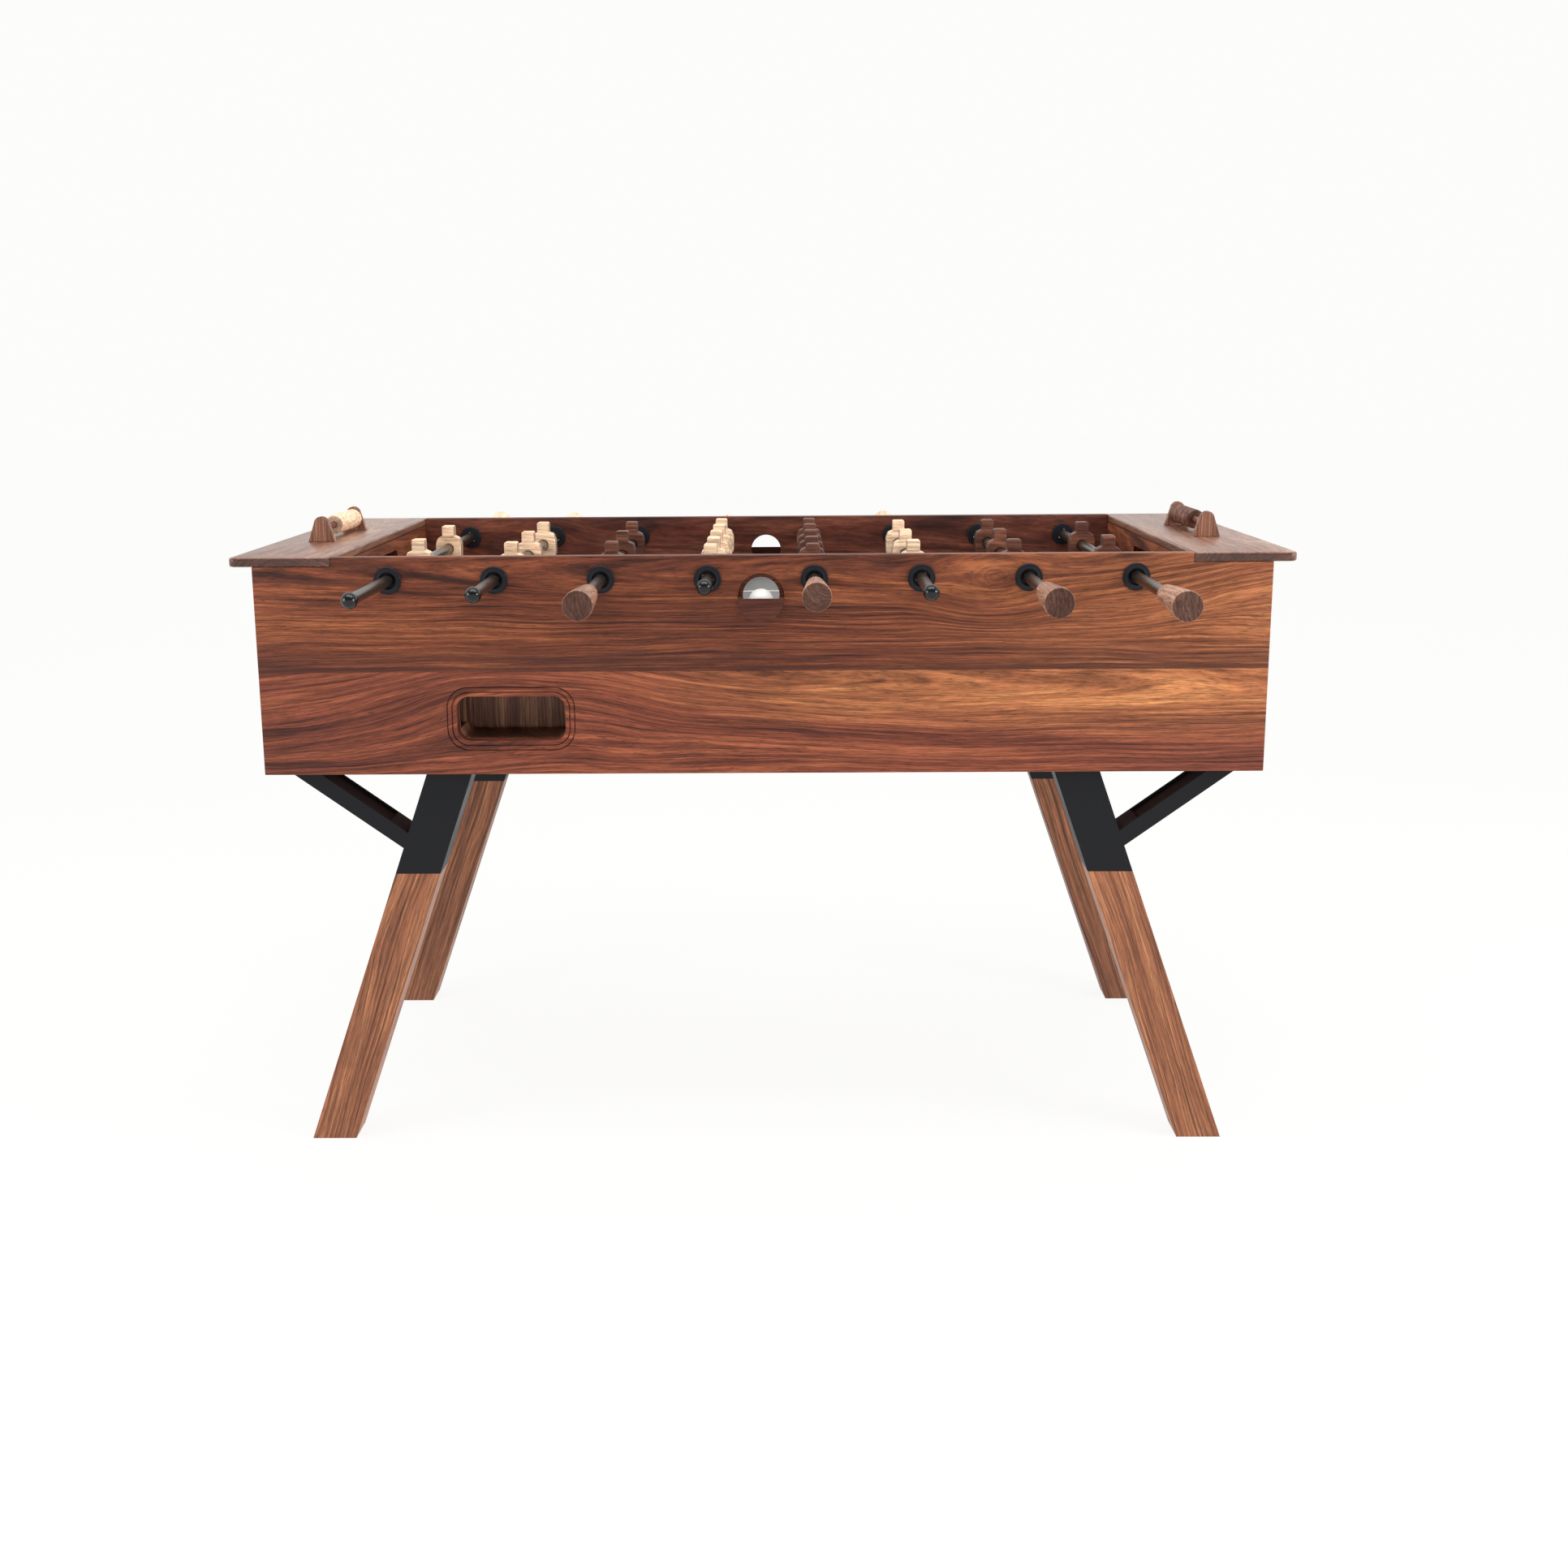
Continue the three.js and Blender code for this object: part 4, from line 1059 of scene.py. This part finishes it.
def score_brackets(name):
    """Two arched brackets and the dowel between them."""
    low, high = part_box(f"{name}_score_frame")
    centre_x = (low.x + high.x) / 2
    base = SHELF_HIGH.z
    half = (high.x - low.x) / 2
    crown_z = high.z - base - SCORE_BRACKET_CROWN
    crown = arc(0, crown_z, SCORE_BRACKET_CROWN, CROWN_END, math.pi - CROWN_END, 20)
    arch = [(half, BRACKET_LIFT), *crown, (-half, BRACKET_LIFT)]
    bracket = plate(f"{name}_score_bracket", [arch], SCORE_BRACKET_THICKNESS, BRACKET_EDGE)
    inset = SCORE_BRACKET_THICKNESS / 2
    for label, y in (("near", low.y + inset), ("far", high.y - inset)):
        piece(f"{name}_score_bracket_{label}", bracket, "score_bracket", "table", "walnut",
              f"{name}_score_frame", location=(centre_x, y, base))
    bead_low, bead_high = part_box(f"{name}_score_beads")
    reach = high.y - SCORE_BRACKET_THICKNESS * DOWEL_SHORT
    profile = [(0, -reach), (DOWEL_RADIUS, -reach), (DOWEL_RADIUS, reach), (0, reach)]
    piece(f"{name}_score_dowel", turned(f"{name}_dowel", profile, 24), "bead_walnut", "table", "walnut",
          f"{name}_score_frame", location=(centre_x, 0, (bead_low.z + bead_high.z) / 2))


def score_beads(name, kind):
    """The row of beads, which slides along the dowel."""
    low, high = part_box(f"{name}_score_beads")
    length = (high.y - low.y) / BEAD_COUNT
    radius = (high.x - low.x) / 2
    edge = (length - BEAD_GAP) / 2
    path = [(BEAD_BORE, -edge, 0), (radius, -edge, BEAD_ROUNDING), (radius, edge, BEAD_ROUNDING),
            (BEAD_BORE, edge, 0)]
    points = filleted(path, closed=False, steps=6)
    bead = turned(f"{name}_bead", [*points, points[0]], 36)
    for i in range(BEAD_COUNT):
        at = ((low.x + high.x) / 2, low.y + length * (i + 0.5), (low.z + high.z) / 2)
        piece(f"{name}_score_bead_{i + 1}", bead, f"bead_{kind}", f"{name}_beads", kind,
              f"{name}_score_beads", location=at)


# ---- Put it together -------------------------------------------------------------------------------

for face in (FRONT, BACK):
    long_panel(face)
    ball_cup(face)
for end, name, kind in ((-1, "left", "maple"), (1, "right", "walnut")):
    end_shelf(end)
    score_brackets(name)
    score_beads(name, kind)
return_pocket()
field_lines()
rods()
ball()

finish_node("playfield", "field", 0.5 * MM)
finish_node("bottom_panel", "inside", 1 * MM)
for side_name in ("left", "right"):
    finish_node(f"{side_name}_end_panel", f"{side_name}_end", 1.3 * MM)
    finish_node(f"{side_name}_goal_wall", "goal_wall", 0.8 * MM)
    finish_node(f"{side_name}_return_trough", "trough", 0.5 * MM)
    for end_name in ("front", "back"):
        finish_node(f"{end_name}_{side_name}_leg", f"{end_name}_{side_name}_leg", 2.2 * MM, 4)
        finish_node(f"{end_name}_{side_name}_leg_bracket", "powder_coat", 0.8 * MM)


# ---- Floor, light and camera -----------------------------------------------------------------------


FLOOR_SIZE = 60
FLOOR_Z = -0.2 * MM


def floor():
    """A pale floor that glows, so that it is as light as the world behind it."""
    bpy.ops.mesh.primitive_plane_add(size=FLOOR_SIZE, location=(0, 0, FLOOR_Z))
    plane = bpy.context.object
    plane.name = "floor"
    material, g, shader = new_material("pale_floor")
    coords = g.coords()
    cloud = g.noise(g.scaled(coords, 0.6, 0.6, 0.6), 3.0)
    g.put(shader.inputs["Base Color"], g.mix(cloud, (0.08, 0.08, 0.079, 1), (0.09, 0.09, 0.089, 1)))
    shader.inputs["Roughness"].default_value = 1.0
    shader.inputs["Specular IOR Level"].default_value = 0.0
    shader.inputs["Emission Color"].default_value = (1, 1, 0.99, 1)
    shader.inputs["Emission Strength"].default_value = 0.907
    plane.data.materials.append(material)


def area_light(name, location, target, size, power):
    """A soft rectangular lamp that faces the target."""
    data = bpy.data.lights.new(name, "AREA")
    data.shape = "RECTANGLE"
    data.size, data.size_y = size
    data.energy = power
    lamp = link(name, data)
    lamp.location = location
    lamp.rotation_euler = (Vector(target) - Vector(location)).to_track_quat("-Z", "Y").to_euler()


def world():
    """White all round at the horizon and high up behind the table, and dimmer high up in front of it."""
    background = bpy.data.worlds.new("studio")
    background.use_nodes = True
    g = Graph(background.node_tree)
    node = background.node_tree.nodes["Background"]
    direction = g.split(g.coords("Generated"))
    y, z = direction["Y"], direction["Z"]
    behind = g.smooth(g.add(y, g.times(z, 0.35)), -0.25, 0.25)
    white = g.math("MAXIMUM", behind, g.smooth(z, 0.15, 0.3, 1.0, 0.0))
    g.put(node.inputs["Color"], g.mix(white, (0.26, 0.26, 0.26, 1), (0.975, 0.975, 0.955, 1)))
    node.inputs["Strength"].default_value = 1.0
    scene.world = background


def camera():
    """The view from in front: a little right of the middle, turned a little left and looking down."""
    yaw, pitch, roll = -0.0136, 0.2134, 0.0072
    forward = Vector((math.sin(yaw) * math.cos(pitch), math.cos(yaw) * math.cos(pitch), -math.sin(pitch)))
    level = Vector((math.cos(yaw), -math.sin(yaw), 0))
    down = forward.cross(level)
    right = level * math.cos(roll) + down * math.sin(roll)
    up = -(down * math.cos(roll) - level * math.sin(roll))
    data = bpy.data.cameras.new("camera")
    data.sensor_width = 36
    data.lens = 41.745
    data.shift_x = 0.01366
    data.shift_y = -0.01053
    view = link("camera", data)
    matrix = Matrix((right, up, -forward)).transposed().to_4x4()
    matrix.translation = Vector((0.0351, -2.9067, 1.1282))
    view.matrix_world = matrix
    scene.camera = view


floor()
MID_TABLE = (0, 0, 0.6)
PLAYFIELD = (0, 0, 0.8)
area_light("side_left", (-3.1, -1.7, 1.5), MID_TABLE, (1.4, 1.4), 34)
area_light("side_right", (3.1, -1.7, 1.5), MID_TABLE, (1.4, 1.4), 60)
area_light("overhead", (0, -1.0, 3.2), PLAYFIELD, (3.2, 1.4), 52)
world()
camera()
